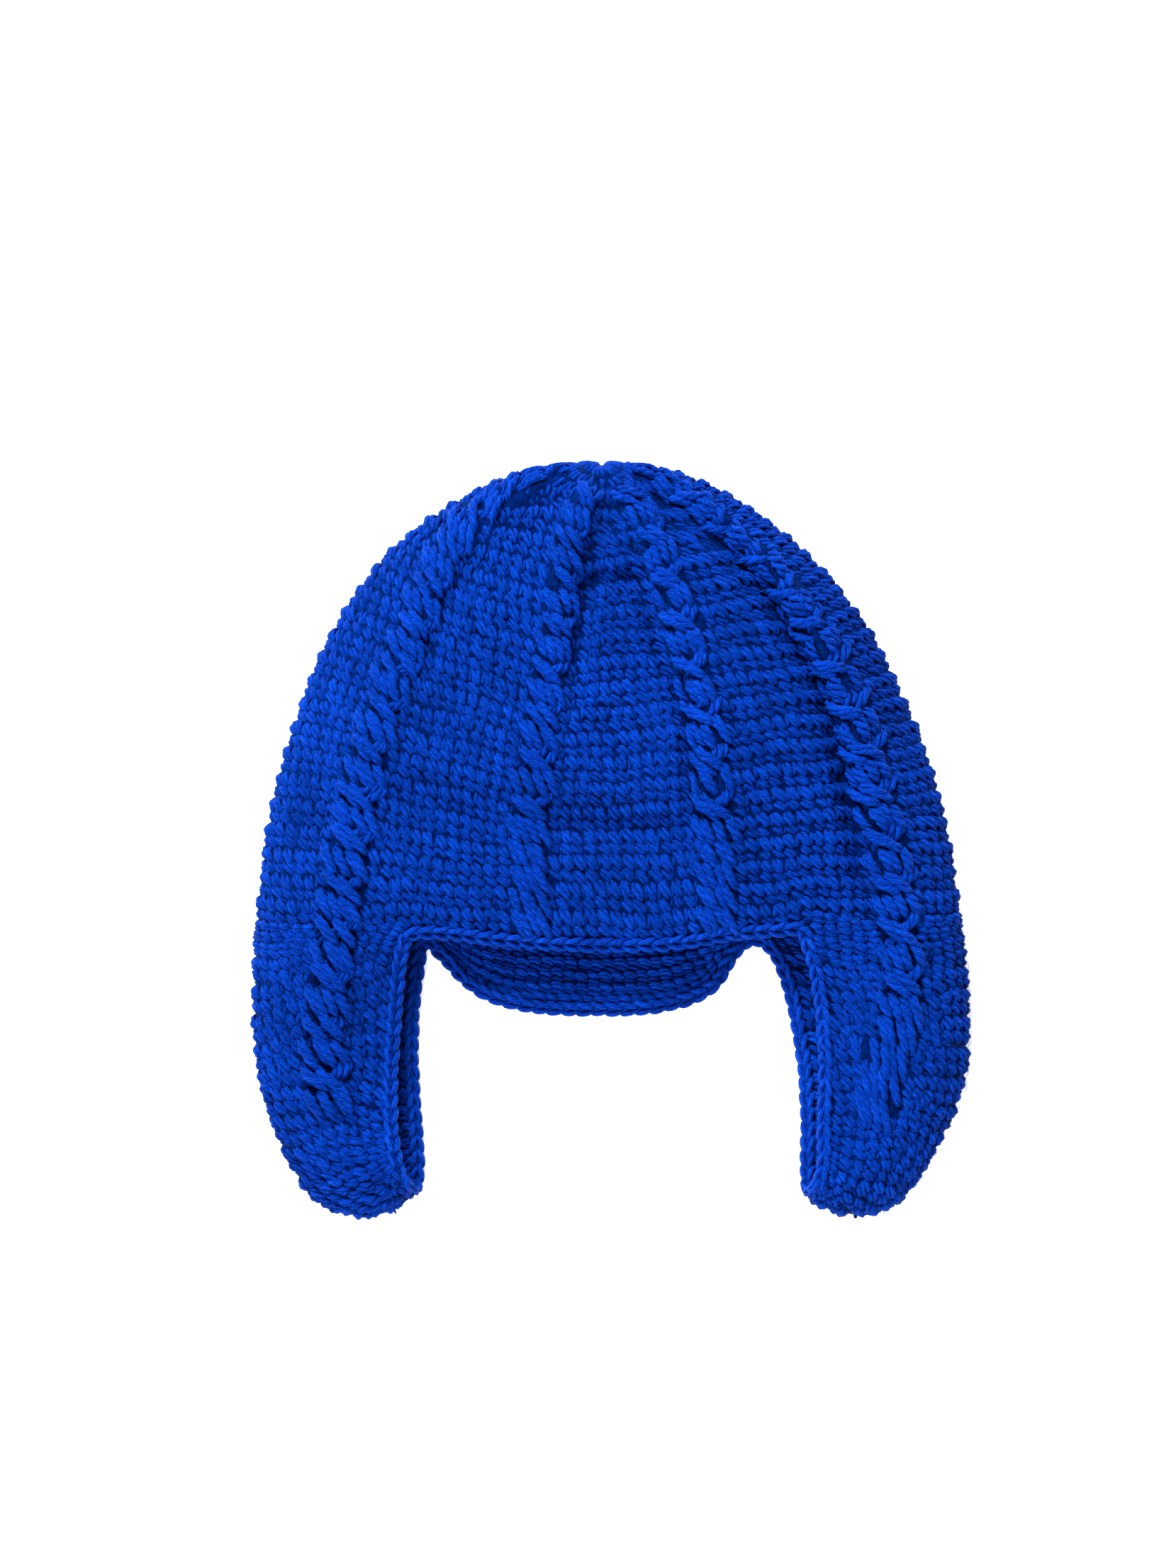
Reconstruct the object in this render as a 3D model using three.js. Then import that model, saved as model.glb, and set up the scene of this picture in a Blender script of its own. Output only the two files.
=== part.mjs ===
// Earflap hat in thick crochet, lying on its back: crown, two cupped ear flaps, nape flap, edging.
// Millimetres. +X is the wearer's left when the hat lies face up, +Y points to the top of the
// crown, +Z is up from the floor that the hat lies on.
import * as THREE from "three";

// Fabric and clearances
const WALL = 4.5;
const SEAM_GAP = 0.4;
const EDGING_RADIUS = 2.3;
const EDGING_STEP = 6.4;
const EDGING_SIDES = 6;

// How it lies: the side fold's height, and how the back layer turns up to it
const FOLD_LINE = 7.6;
const UNDER_REACH = 9;
const BACK_RISE = 0.7;

// Cables: raised ribs of four strands that cross two over two
const CABLE_WIDTH = 22;
const CABLE_HEIGHT = 3;
const CROSSING_PITCH = 17.7;
const CROSSING_SWELL = 0.22;

// Colour of the yarn
const YARN_BLUE = 0x0a3fb0;
const EDGING_BLUE = 0x0b43ba;

// How far the front layer's fold reaches inward, and how high it swells above the side fold
const SWELL = [
  { y: -145, reach: 21, rise: 11.5 },
  { y: -110, reach: 24, rise: 12.5 },
  { y: -60, reach: 27, rise: 13.5 },
  { y: -30, reach: 34, rise: 16 },
  { y: 0, reach: 41, rise: 19 },
  { y: 40, reach: 43, rise: 20.5 },
  { y: 100, reach: 38, rise: 17 },
  { y: 145, reach: 33, rise: 14 },
];

// Crown: one row per round, from the gathered top to the rim; each column is a side fold or a cable
const ROUNDS = [
  { at: 0, left: [-3.6, 142.1], a: [-3.6, 142.1], b: [-3.6, 142.1], c: [-3.6, 142.1],
    d: [-3.6, 142.1], right: [-3.6, 142.1] },
  { at: 0.06, left: [-18, 141], a: [-16.6, 138.4], b: [-7.8, 132.5], c: [3.4, 133.2],
    d: [9.3, 138.4], right: [10.6, 140.9] },
  { at: 0.14, left: [-37, 137.4], a: [-33.1, 132.4], b: [-13.4, 119.7], c: [12.5, 121.2],
    d: [24.4, 129.5], right: [29.4, 137.4] },
  { at: 0.24, left: [-58.9, 127.7], a: [-50.5, 119.5], b: [-17.2, 102.7], c: [20.3, 104.6],
    d: [41.2, 116.3], right: [51.1, 126.3] },
  { at: 0.36, left: [-82.3, 110.2], a: [-66.9, 100.2], b: [-20.1, 81.6], c: [26.6, 84],
    d: [61, 99.7], right: [73.1, 109.2] },
  { at: 0.5, left: [-102.4, 83.9], a: [-78.5, 72.8], b: [-24.2, 57], c: [32.5, 58.8],
    d: [78.2, 75.9], right: [94.4, 84] },
  { at: 0.65, left: [-117, 50.8], a: [-93.8, 43.9], b: [-27.7, 29.9], c: [36.9, 31.2],
    d: [91.7, 46.3], right: [111.2, 52.2] },
  { at: 0.82, left: [-128.2, 11.5], a: [-103.1, 7.9], b: [-30.8, -0.9], c: [38.9, -0.9],
    d: [101.1, 10.5], right: [124.6, 14] },
  { at: 1, left: [-133.7, -31], a: [-105.7, -31], b: [-30.5, -34.2], c: [39.6, -32],
    d: [107.1, -28], right: [131.6, -28] },
];

// Lower border of the crown's front layer: seams above the ear flaps, and the front brim between
const FRONT_RIM = [
  { x: -140, y: -31 }, { x: -80, y: -31 }, { x: -67, y: -30.6 }, { x: -58.7, y: -31.1 },
  { x: -50, y: -32.3 }, { x: -40, y: -33.2 }, { x: -30, y: -34.2 }, { x: -6, y: -35.4 },
  { x: 21, y: -35 }, { x: 31, y: -33.7 }, { x: 41.5, y: -31.6 }, { x: 52, y: -30.2 },
  { x: 62, y: -29.8 }, { x: 71, y: -28.3 }, { x: 80, y: -28 }, { x: 140, y: -28 },
];

// Lower border of the crown's back layer
const BACK_RIM = [{ x: -140, y: -31 }, { x: -134, y: -31 }, { x: 132, y: -28 }, { x: 140, y: -28 }];

// Ear flaps: one row per section, from the seam to the end of the slit: the front half's free edge,
// the outer fold, and the back half's free edge
const LEFT_FLAP = [
  { front: [-80, -31], fold: [-133.7, -31], back: [-70.2, -31] },
  { front: [-80.8, -35.5], fold: [-134.2, -36], back: [-71, -34.4] },
  { front: [-82, -41], fold: [-134.7, -42], back: [-75.3, -38.6] },
  { front: [-83.3, -51], fold: [-135, -53], back: [-76.8, -49] },
  { front: [-84.6, -64], fold: [-134.9, -66], back: [-78.3, -62] },
  { front: [-85.5, -77], fold: [-134.1, -79], back: [-78.9, -75] },
  { front: [-86.2, -90], fold: [-132.2, -92], back: [-78.8, -88] },
  { front: [-86.2, -101], fold: [-128.4, -104.5], back: [-78.1, -99] },
  { front: [-85.7, -110], fold: [-123.3, -118.5], back: [-77.3, -108.5] },
  { front: [-84.9, -117], fold: [-115.5, -131.3], back: [-76.9, -116] },
  { front: [-83.9, -122.5], fold: [-105.3, -139.3], back: [-76.6, -121.5] },
  { front: [-82.6, -127], fold: [-94, -142], back: [-76.7, -126] },
  { front: [-81.2, -129.6], fold: [-84, -140.4], back: [-77, -129] },
  { front: [-79.8, -131.2], fold: [-75.8, -136.4], back: [-77.5, -131] },
];
const RIGHT_FLAP = [
  { front: [76.4, -28], fold: [131.6, -28], back: [54.4, -28.9] },
  { front: [76.9, -34], fold: [132.4, -34], back: [55.6, -33.5] },
  { front: [78.3, -40], fold: [133.3, -41], back: [63.2, -37.6] },
  { front: [80.3, -47.5], fold: [134.2, -50], back: [68.4, -46.8] },
  { front: [82.3, -59], fold: [134.9, -61], back: [72, -58.8] },
  { front: [83.6, -72], fold: [134.9, -73.5], back: [74.8, -71.8] },
  { front: [84, -85], fold: [134.1, -86.5], back: [76.8, -85] },
  { front: [83.9, -97], fold: [130.7, -99.5], back: [77.8, -96.5] },
  { front: [83.6, -107], fold: [125.4, -111.5], back: [78.1, -105.5] },
  { front: [83.6, -115], fold: [118, -124.7], back: [78, -113.5] },
  { front: [83.3, -121.5], fold: [108.6, -136], back: [77.9, -120] },
  { front: [82.4, -126.5], fold: [96, -141.7], back: [77.8, -125.5] },
  { front: [81.2, -129.8], fold: [85.5, -141], back: [77.9, -129.3] },
  { front: [79.9, -131.9], fold: [76.7, -137.1], back: [78.3, -131.8] },
];

// Nape flap: one row per column of the fabric, from left to right: the seam's x and the lower edge
const NAPE = [
  { seam: -69.8, edge: [-69.3, -34.2] }, { seam: -66, edge: [-65.7, -35.6] },
  { seam: -61.5, edge: [-62.8, -38.8] }, { seam: -57, edge: [-58.4, -43.2] },
  { seam: -49.5, edge: [-50.7, -51.2] }, { seam: -40, edge: [-41.2, -56.4] },
  { seam: -26, edge: [-26.2, -59.5] }, { seam: -3, edge: [-3.1, -60.3] },
  { seam: 15, edge: [15, -59.5] }, { seam: 27.5, edge: [27.9, -56.5] },
  { seam: 36, edge: [36.3, -51.6] }, { seam: 41, edge: [40.6, -44.6] },
  { seam: 45.5, edge: [44.5, -39.4] }, { seam: 49.5, edge: [48.4, -35.6] },
  { seam: 54, edge: [53.5, -33.5] },
];

// Centre line of the edging, one closed ring; a row without a height lies along the layer it edges
const EDGING_RING = [
  { layer: "front", path: [[-72.5, -33.6], [-67, -33.4], [-58.7, -33.9], [-50, -35.1], [-40, -36],
    [-30, -37], [-18, -37.9], [-6, -38.2], [8, -38.2], [21, -37.8], [31, -36.5], [41.5, -34.4],
    [52, -33], [62, -32.7], [68.5, -31.9], [72.3, -33.2], [74.2, -38.2], [77.4, -47.6], [79.4, -59],
    [80.7, -72], [81.1, -85], [81, -97], [80.7, -107], [80.7, -115], [80.4, -121.3],
    [79.4, -126.1]] },
  { layer: "turn", path: [[77.9, -129.6, 14], [76.5, -131.8, 11], [75.7, -132.6, 7.6],
    [75.2, -131.4, 4.3], [75, -129, 2.6]] },
  { layer: "back", path: [[74.9, -124], [75.1, -113.5], [75, -105.5], [74.8, -96.5], [73.8, -85],
    [71.9, -71.8], [69.2, -59], [65.7, -47.8], [62.4, -41.6], [58.4, -37.9], [53.8, -36.6],
    [49.8, -38.2], [46.7, -41.4], [43.4, -46], [38.8, -53.8], [29.4, -59.2], [15.4, -62.4],
    [-3.1, -63.2], [-26.8, -62.4], [-42.5, -59.1], [-52.9, -53.4], [-60.8, -45.2],
    [-65.3, -40.7], [-67.6, -38], [-69.9, -37.1], [-71.9, -38.3], [-72.8, -42], [-74, -49],
    [-75.5, -62], [-76.1, -75], [-76, -88], [-75.3, -99], [-74.5, -108.5], [-74.1, -116],
    [-73.8, -123]] },
  { layer: "turn", path: [[-74.1, -128.6, 2.6], [-74.4, -130.9, 4.3], [-74.9, -132, 7.6],
    [-75.8, -131.2, 11], [-77.6, -129, 14]] },
  { layer: "front", path: [[-79.7, -125.6], [-81, -122], [-82, -117], [-82.8, -110], [-83.3, -101],
    [-83.3, -90], [-82.6, -77], [-81.7, -64], [-80.4, -51], [-79.1, -42], [-77.7, -36.9],
    [-75.7, -34.4]] },
];

// Cables that run on from the crown into the ear flaps, and the lengths over which they fade out
const FLAP_CABLES = {
  a: [[-108.7, -53.2], [-110.8, -71.5], [-108.5, -86], [-104.5, -101]],
  d: [[108.7, -51.3], [108.7, -63.4], [105.7, -76.6], [100.6, -91.6], [97.5, -104]],
};
const CABLE_START = 26;
const CABLE_FADE = 22;

// Folds in the front layer: path, depth (a ridge is negative) and width
const FOLDS = [
  { name: "wrinkle between the middle cables", path: [[-22, 8], [4, 5.5], [28, 2]], depth: 3.2,
    width: 5.5 },
  { name: "swell above that wrinkle", path: [[-20, 21], [4, 19], [27, 16]], depth: -1.8, width: 8 },
  { name: "sloping fold beside the left cable", path: [[-86, 25], [-62, 15], [-37, 4]], depth: 3.2,
    width: 6 },
  { name: "swell above the sloping fold", path: [[-76, 37], [-55, 27], [-38, 20]], depth: -1.6,
    width: 9 },
  { name: "crease inside the right cable", path: [[36, 122], [57, 104], [70, 78], [80, 52],
    [89, 25], [91, -4]], depth: 4.2, width: 5.5 },
  { name: "sunk panel between the middle cables", path: [[3, 112], [5, 84], [7, 45]], depth: 3.6,
    width: 15 },
  { name: "crease right of the second cable", path: [[-2, 124], [-7, 96], [-11, 62]], depth: 2,
    width: 4.5 },
  { name: "crease left of the third cable", path: [[8, 122], [15, 95], [21, 66]], depth: 2.4,
    width: 4.5 },
  { name: "tuck at the top, left", path: [[-12, 138], [-24, 122], [-36, 108]], depth: 2.2, width: 5 },
  { name: "tuck at the top, middle", path: [[-2, 139], [-1, 128], [1, 112]], depth: 2.6, width: 4 },
  { name: "tuck at the top, right", path: [[6, 138], [20, 124], [30, 108]], depth: 2, width: 4.5 },
  { name: "hollow along the left side", path: [[-104, 60], [-113, 25], [-118, -12]], depth: 1.8,
    width: 6 },
  { name: "sag of the front brim", path: [[-48, -36], [0, -40], [48, -34]], depth: 2.4, width: 17 },
  { name: "droop of the left slit's edge", path: [[-82, -40], [-86, -75], [-86, -104], [-83, -126]],
    depth: 4, width: 12 },
  { name: "droop of the right slit's edge", path: [[79, -38], [83, -72], [84, -104], [82, -127]],
    depth: 4, width: 12 },
];

const clamp = (value, low, high) => Math.min(high, Math.max(low, value));
const mix = (from, to, share) => from + (to - from) * share;

function smoothstep(low, high, value) {
  const t = clamp((value - low) / (high - low), 0, 1);
  return t * t * (3 - 2 * t);
}

// A smooth curve through the points, at the given stations (rising numbers)
function curve(stations, points) {
  const last = stations.length - 1;
  const slope = (i, k) => {
    const low = Math.max(0, i - 1);
    const high = Math.min(last, i + 1);
    return (points[high][k] - points[low][k]) / (stations[high] - stations[low]);
  };
  return (station) => {
    let i = 0;
    while (i < last - 1 && station > stations[i + 1]) {
      i += 1;
    }
    const span = stations[i + 1] - stations[i];
    const t = clamp((station - stations[i]) / span, 0, 1);
    const t2 = t * t;
    const t3 = t2 * t;
    return points[i].map((_, k) => (2 * t3 - 3 * t2 + 1) * points[i][k]
      + (t3 - 2 * t2 + t) * span * slope(i, k)
      + (3 * t2 - 2 * t3) * points[i + 1][k]
      + (t3 - t2) * span * slope(i + 1, k));
  };
}

function lengths(points) {
  const run = [0];
  for (let i = 1; i < points.length; i += 1) {
    run.push(run[i - 1] + Math.hypot(...points[i].map((value, k) => value - points[i - 1][k])));
  }
  return run;
}

// The same curve as an even polyline
function resample(points, step) {
  const run = lengths(points);
  const total = run[run.length - 1];
  const along = curve(run, points);
  const count = Math.max(2, Math.round(total / step));
  return Array.from({ length: count + 1 }, (_, i) => along(total * i / count));
}

// A polyline on the floor plane that tells how far a point is from it, and where along it
class Trace {
  constructor(points) {
    this.points = points;
    this.run = lengths(points);
    this.total = this.run[this.run.length - 1];
    this.normals = points.map((_, i) => {
      const before = points[Math.max(0, i - 1)];
      const after = points[Math.min(points.length - 1, i + 1)];
      const size = Math.hypot(after[0] - before[0], after[1] - before[1]);
      return [(after[1] - before[1]) / size, -(after[0] - before[0]) / size];
    });
  }

  nearest(x, y) {
    let best = { distance: Infinity, along: 0, normal: [1, 0] };
    for (let i = 0; i < this.points.length - 1; i += 1) {
      const [ax, ay] = this.points[i];
      const [bx, by] = this.points[i + 1];
      const size = this.run[i + 1] - this.run[i];
      const t = clamp(((x - ax) * (bx - ax) + (y - ay) * (by - ay)) / (size * size), 0, 1);
      const distance = Math.hypot(x - mix(ax, bx, t), y - mix(ay, by, t));
      if (distance < best.distance) {
        const nx = mix(this.normals[i][0], this.normals[i + 1][0], t);
        const ny = mix(this.normals[i][1], this.normals[i + 1][1], t);
        const unit = Math.hypot(nx, ny);
        best = { distance, along: mix(this.run[i], this.run[i + 1], t), normal: [nx / unit, ny / unit] };
      }
    }
    return best;
  }
}

const meridian = (name) => curve(ROUNDS.map((row) => row.at), ROUNDS.map((row) => row[name]));
const MERIDIANS = ["left", "a", "b", "c", "d", "right"].map(meridian);
const flapColumn = (rows, name) => curve(rows.map((_, i) => i), rows.map((row) => row[name]));
const heightOf = (rows) => curve(rows.map((row) => row.x), rows.map((row) => [row.y]));
const frontRim = heightOf(FRONT_RIM);
const backRim = heightOf(BACK_RIM);
const swellAt = curve(SWELL.map((row) => row.y), SWELL.map((row) => [row.reach, row.rise]));

function sampled(along, low, high, count) {
  return Array.from({ length: count + 1 }, (_, i) => along(mix(low, high, i / count)));
}

// The side fold, from the end of the left flap over the top of the crown to the end of the right one
const leftFold = sampled(flapColumn(LEFT_FLAP, "fold"), LEFT_FLAP.length - 1, 0, 60);
const rightFold = sampled(flapColumn(RIGHT_FLAP, "fold"), 0, RIGHT_FLAP.length - 1, 60);
const FOLD = new Trace([
  ...leftFold,
  ...sampled(MERIDIANS[0], 1, 0, 90).slice(1),
  ...sampled(MERIDIANS[5], 0, 1, 90).slice(1),
  ...rightFold.slice(1),
]);

const CABLES = ["a", "b", "c", "d"].map((name) => {
  const crown = sampled(MERIDIANS[1 + "abcd".indexOf(name)], 0, 1, 60);
  const long = name in FLAP_CABLES;
  const flap = long ? resample([crown[crown.length - 1], ...FLAP_CABLES[name]], 4).slice(1) : [];
  return { trace: new Trace([...crown, ...flap]), long };
});

const FOLD_TRACES = FOLDS.map((fold) => ({ ...fold, trace: new Trace(resample(fold.path, 4)) }));

// How far a fold lowers the front layer
function foldDepth(x, y) {
  let sum = 0;
  for (const { trace, depth, width } of FOLD_TRACES) {
    const { distance, along } = trace.nearest(x, y);
    const share = along / trace.total;
    const fade = smoothstep(-0.12, 0.3, share) * smoothstep(-0.12, 0.3, 1 - share);
    sum += depth * fade * Math.exp(-((distance / width) ** 2));
  }
  return sum;
}

// Height of the cables above the plain fabric, 0 to about 1
function cableRelief(x, y) {
  let most = 0;
  for (const { trace, long } of CABLES) {
    const { distance, along } = trace.nearest(x, y);
    const half = CABLE_WIDTH / 2 * clamp((along + 5) / 42, 0.15, 1);
    const across = clamp(distance / half, 0, 1);
    const crossing = 1 + CROSSING_SWELL * Math.cos(2 * Math.PI * along / CROSSING_PITCH);
    const start = smoothstep(0, CABLE_START, along);
    const end = long ? smoothstep(0, CABLE_FADE, trace.total - along) : 1;
    most = Math.max(most, (1 - across ** 4) * crossing * start * end);
  }
  return most;
}

// The share of a wall's tilt that is kept: none at the seams, so the walls meet them squarely
function tiltKept(x, y) {
  const seam = mix(-31, -28, smoothstep(-80, 76, x));
  return smoothstep(0, 14, Math.abs(y - seam));
}

function wallPoint(x, y, height, side, out) {
  const unit = Math.hypot(...out);
  const normal = out.map((value) => value / unit);
  normal[1] *= tiltKept(x, y);
  const again = Math.hypot(...normal);
  return { base: [x, y, height], normal: normal.map((value) => value / again), side };
}

// The front layer's wall: outer and inner point above a place on the floor plane
function frontWall(x, y) {
  const [reach, rise] = swellAt(y);
  const { distance, normal } = FOLD.nearest(x, y);
  const flat = 1 - Math.min(distance / reach, 1);
  const lift = Math.sqrt(1 - flat * flat);
  const wall = wallPoint(x, y, FOLD_LINE + rise * lift, "front",
    [-normal[0] * rise * flat, -normal[1] * rise * flat, reach * lift]);
  const sink = foldDepth(x, y) * smoothstep(0, 0.75, lift);
  const proud = CABLE_HEIGHT * cableRelief(x, y) * smoothstep(0.1, 0.7, lift);
  const outer = wall.base.map((value, k) => value + proud * wall.normal[k]);
  const inner = wall.base.map((value, k) => value - WALL * wall.normal[k]);
  outer[2] -= sink;
  inner[2] -= sink;
  return { outer, inner };
}

// The back layer's wall, pressed flat where it lies
function backWall(x, y) {
  const { distance, normal } = FOLD.nearest(x, y);
  const flat = 1 - Math.min(distance / UNDER_REACH, 1);
  const drop = Math.sqrt(1 - flat * flat);
  const rest = BACK_RISE * smoothstep(-24, 0, y);
  const depth = FOLD_LINE - rest;
  const wall = wallPoint(x, y, FOLD_LINE - depth * drop, "back",
    [-normal[0] * depth * flat, -normal[1] * depth * flat, -UNDER_REACH * drop]);
  const proud = rest * Math.min(1, 1.25 * cableRelief(x, y)) * smoothstep(0.6, 1, drop);
  const outer = wall.base.map((value, k) => value + proud * wall.normal[k]);
  const inner = wall.base.map((value, k) => value - WALL * wall.normal[k]);
  return { outer, inner };
}

// One closed solid from lists of faces; it is turned so that the faces point out
function solid(points, triangles) {
  let volume = 0;
  for (const [a, b, c] of triangles) {
    const [p, q, r] = [points[a], points[b], points[c]];
    volume += p[0] * (q[1] * r[2] - q[2] * r[1]) + p[1] * (q[2] * r[0] - q[0] * r[2])
      + p[2] * (q[0] * r[1] - q[1] * r[0]);
  }
  const faces = volume < 0 ? triangles.map(([a, b, c]) => [a, c, b]) : triangles;
  const geometry = new THREE.BufferGeometry();
  geometry.setAttribute("position", new THREE.Float32BufferAttribute(points.flat(), 3));
  geometry.setIndex(faces.flat());
  geometry.computeVertexNormals();
  return geometry;
}

function quad(triangles, a, b, c, d) {
  triangles.push([a, b, c], [a, c, d]);
}

// A wall with an outer and an inner sheet of the same rows and columns, closed along its borders
function sheetSolid(rows) {
  const width = rows[0].length;
  const points = [];
  const at = (layer, i, j) => 2 * (j * width + i) + layer;
  rows.forEach((row) => row.forEach(({ outer, inner }) => points.push(outer, inner)));
  const triangles = [];
  for (let j = 0; j < rows.length - 1; j += 1) {
    for (let i = 0; i < width - 1; i += 1) {
      quad(triangles, at(0, i, j), at(0, i + 1, j), at(0, i + 1, j + 1), at(0, i, j + 1));
      quad(triangles, at(1, i, j), at(1, i, j + 1), at(1, i + 1, j + 1), at(1, i + 1, j));
    }
  }
  for (let i = 0; i < width - 1; i += 1) {
    const end = rows.length - 1;
    quad(triangles, at(0, i, 0), at(1, i, 0), at(1, i + 1, 0), at(0, i + 1, 0));
    quad(triangles, at(0, i, end), at(0, i + 1, end), at(1, i + 1, end), at(1, i, end));
  }
  for (let j = 0; j < rows.length - 1; j += 1) {
    const end = width - 1;
    quad(triangles, at(0, 0, j), at(0, 0, j + 1), at(1, 0, j + 1), at(1, 0, j));
    quad(triangles, at(0, end, j), at(1, end, j), at(1, end, j + 1), at(0, end, j + 1));
  }
  return solid(points, triangles);
}

// A wall whose rounds close on themselves, from one gathered point to an open rim
function pouchSolid(top, rounds) {
  const count = rounds[0].length;
  const points = [top.outer, top.inner];
  const at = (layer, i, j) => 2 + 2 * (j * count + (i % count)) + layer;
  rounds.forEach((round) => round.forEach(({ outer, inner }) => points.push(outer, inner)));
  const triangles = [];
  for (let i = 0; i < count; i += 1) {
    triangles.push([0, at(0, i + 1, 0), at(0, i, 0)], [1, at(1, i, 0), at(1, i + 1, 0)]);
    for (let j = 0; j < rounds.length - 1; j += 1) {
      quad(triangles, at(0, i, j), at(0, i + 1, j), at(0, i + 1, j + 1), at(0, i, j + 1));
      quad(triangles, at(1, i, j), at(1, i, j + 1), at(1, i + 1, j + 1), at(1, i + 1, j));
    }
    const end = rounds.length - 1;
    quad(triangles, at(0, i, end), at(0, i + 1, end), at(1, i + 1, end), at(1, i, end));
  }
  return solid(points, triangles);
}

// Columns across one panel of the crown, as shares of the way from one cable or fold to the next
function panelColumns(left, right, gap, fine) {
  const half = Math.min(CABLE_WIDTH / 2, 0.22 * gap) / gap;
  const fromFold = fine ? [0, 0.025, 0.1, 0.22, 0.38] : [0, 0.06, 0.25];
  const toFold = fromFold.map((share) => 1 - share).reverse();
  const middle = fine ? [0.38, 0.5, 0.62] : [0.5];
  const edge = fine ? [0, half / 2, half] : [0, half];
  const endEdge = fine ? [1 - half, 1 - half / 2] : [1 - half];
  if (left) {
    return [...fromFold, 1 - half * gap / Math.max(gap, 26) - 0.18, fine ? 0.8 : 0.9];
  }
  if (right) {
    return [0, 0.2, 0.38, ...toFold.slice(0, -1).filter((share) => share > 0.45)];
  }
  return [...edge, ...middle, ...endEdge];
}

function crownRound(share) {
  const knots = MERIDIANS.map((along) => along(share));
  const ends = MERIDIANS.map((along) => along(1));
  const settle = smoothstep(0.72, 1, share);
  const layer = (wall, rim, fine) => {
    const points = [];
    for (let k = 0; k < knots.length - 1; k += 1) {
      const gap = Math.hypot(knots[k + 1][0] - knots[k][0], knots[k + 1][1] - knots[k][1]);
      for (const part of panelColumns(k === 0, k === knots.length - 2, gap, fine)) {
        const x = mix(knots[k][0], knots[k + 1][0], part);
        const endX = mix(ends[k][0], ends[k + 1][0], part);
        const endY = mix(ends[k][1], ends[k + 1][1], part);
        const y = mix(knots[k][1], knots[k + 1][1], part) + settle * (rim(endX)[0] - endY);
        points.push(wall(x, y));
      }
    }
    return points;
  };
  const front = layer(frontWall, frontRim, true);
  const back = layer(backWall, backRim, false);
  const [x, y] = knots[knots.length - 1];
  return [...front, frontWall(x, y), ...back.slice(1).reverse()];
}

function crownGeometry() {
  const shares = [0.018, 0.04, 0.07, 0.105, 0.145, 0.19, 0.235, 0.28, 0.325, 0.37, 0.415, 0.46,
    0.505, 0.55, 0.595, 0.64, 0.685, 0.73, 0.775, 0.82, 0.865, 0.91, 0.955, 1];
  const top = frontWall(...MERIDIANS[0](0));
  return pouchSolid(top, shares.map(crownRound));
}

function flapGeometry(rows) {
  const [front, fold, back] = ["front", "fold", "back"].map((name) => flapColumn(rows, name));
  const last = rows.length - 1;
  const stations = [0, 1, 2, 2.5];
  for (let station = 3; station <= last; station += 0.5) {
    stations.push(station);
  }
  const over = [0, 0.1, 0.21, 0.32, 0.43, 0.54, 0.65, 0.76, 0.87, 0.95, 0.99];
  const under = [1, 0.985, 0.95, 0.88, 0.72, 0.48, 0.24, 0];
  const seamShift = (station) => SEAM_GAP * (1 - smoothstep(0, 1, station));
  const place = (from, to, share, station) => [
    mix(from[0], to[0], share),
    mix(from[1], to[1], share) - seamShift(station),
  ];
  return sheetSolid(stations.map((station) => [
    ...over.map((share) => frontWall(...place(front(station), fold(station), share, station))),
    ...under.map((share) => backWall(...place(back(station), fold(station), share, station))),
  ]));
}

function napeGeometry() {
  const index = NAPE.map((_, i) => i);
  const seam = curve(index, NAPE.map((row) => [row.seam]));
  const edge = curve(index, NAPE.map((row) => row.edge));
  const columns = [];
  for (let i = 0; i <= NAPE.length - 1; i += 0.5) {
    columns.push(i);
  }
  const shares = [0, 0.25, 0.5, 0.75, 1];
  return sheetSolid(shares.map((share) => columns.map((i) => {
    const x = seam(i)[0];
    const top = backRim(x)[0] - SEAM_GAP;
    return backWall(mix(x, edge(i)[0], share), mix(top, edge(i)[1], share));
  })));
}

// The edging: a round, rope-like ring along every free border of the fabric
function edgingGeometry() {
  const points = EDGING_RING.flatMap(({ layer, path }) => path.map(([x, y, z]) => {
    const height = { turn: () => z, back: () => EDGING_RADIUS + 0.05,
      front: () => (frontWall(x, y).outer[2] + frontWall(x, y).inner[2]) / 2 }[layer];
    return new THREE.Vector3(x, y, height());
  }));
  const path = new THREE.CatmullRomCurve3(points, true, "centripetal");
  const count = Math.round(path.getLength() / EDGING_STEP);
  return new THREE.TubeGeometry(path, count, EDGING_RADIUS, EDGING_SIDES, true);
}

function piece(name, geometry, color, roughness) {
  const material = new THREE.MeshStandardMaterial({ color, roughness, metalness: 0 });
  const mesh = new THREE.Mesh(geometry, material);
  mesh.name = name;
  return mesh;
}

const hat = new THREE.Group();
hat.name = "earflap_hat";
hat.add(piece("crown", crownGeometry(), YARN_BLUE, 0.9));
hat.add(piece("ear_flap_left", flapGeometry(LEFT_FLAP), YARN_BLUE, 0.9));
hat.add(piece("ear_flap_right", flapGeometry(RIGHT_FLAP), YARN_BLUE, 0.9));
hat.add(piece("nape_flap", napeGeometry(), YARN_BLUE, 0.9));
hat.add(piece("edging", edgingGeometry(), EDGING_BLUE, 0.85));

export default hat;
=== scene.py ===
"""Earflap hat in thick blue crochet, lying on its back on a pale floor, seen from above."""

import logging
import math
from dataclasses import dataclass, field, replace
from enum import Enum
from typing import Callable

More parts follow.
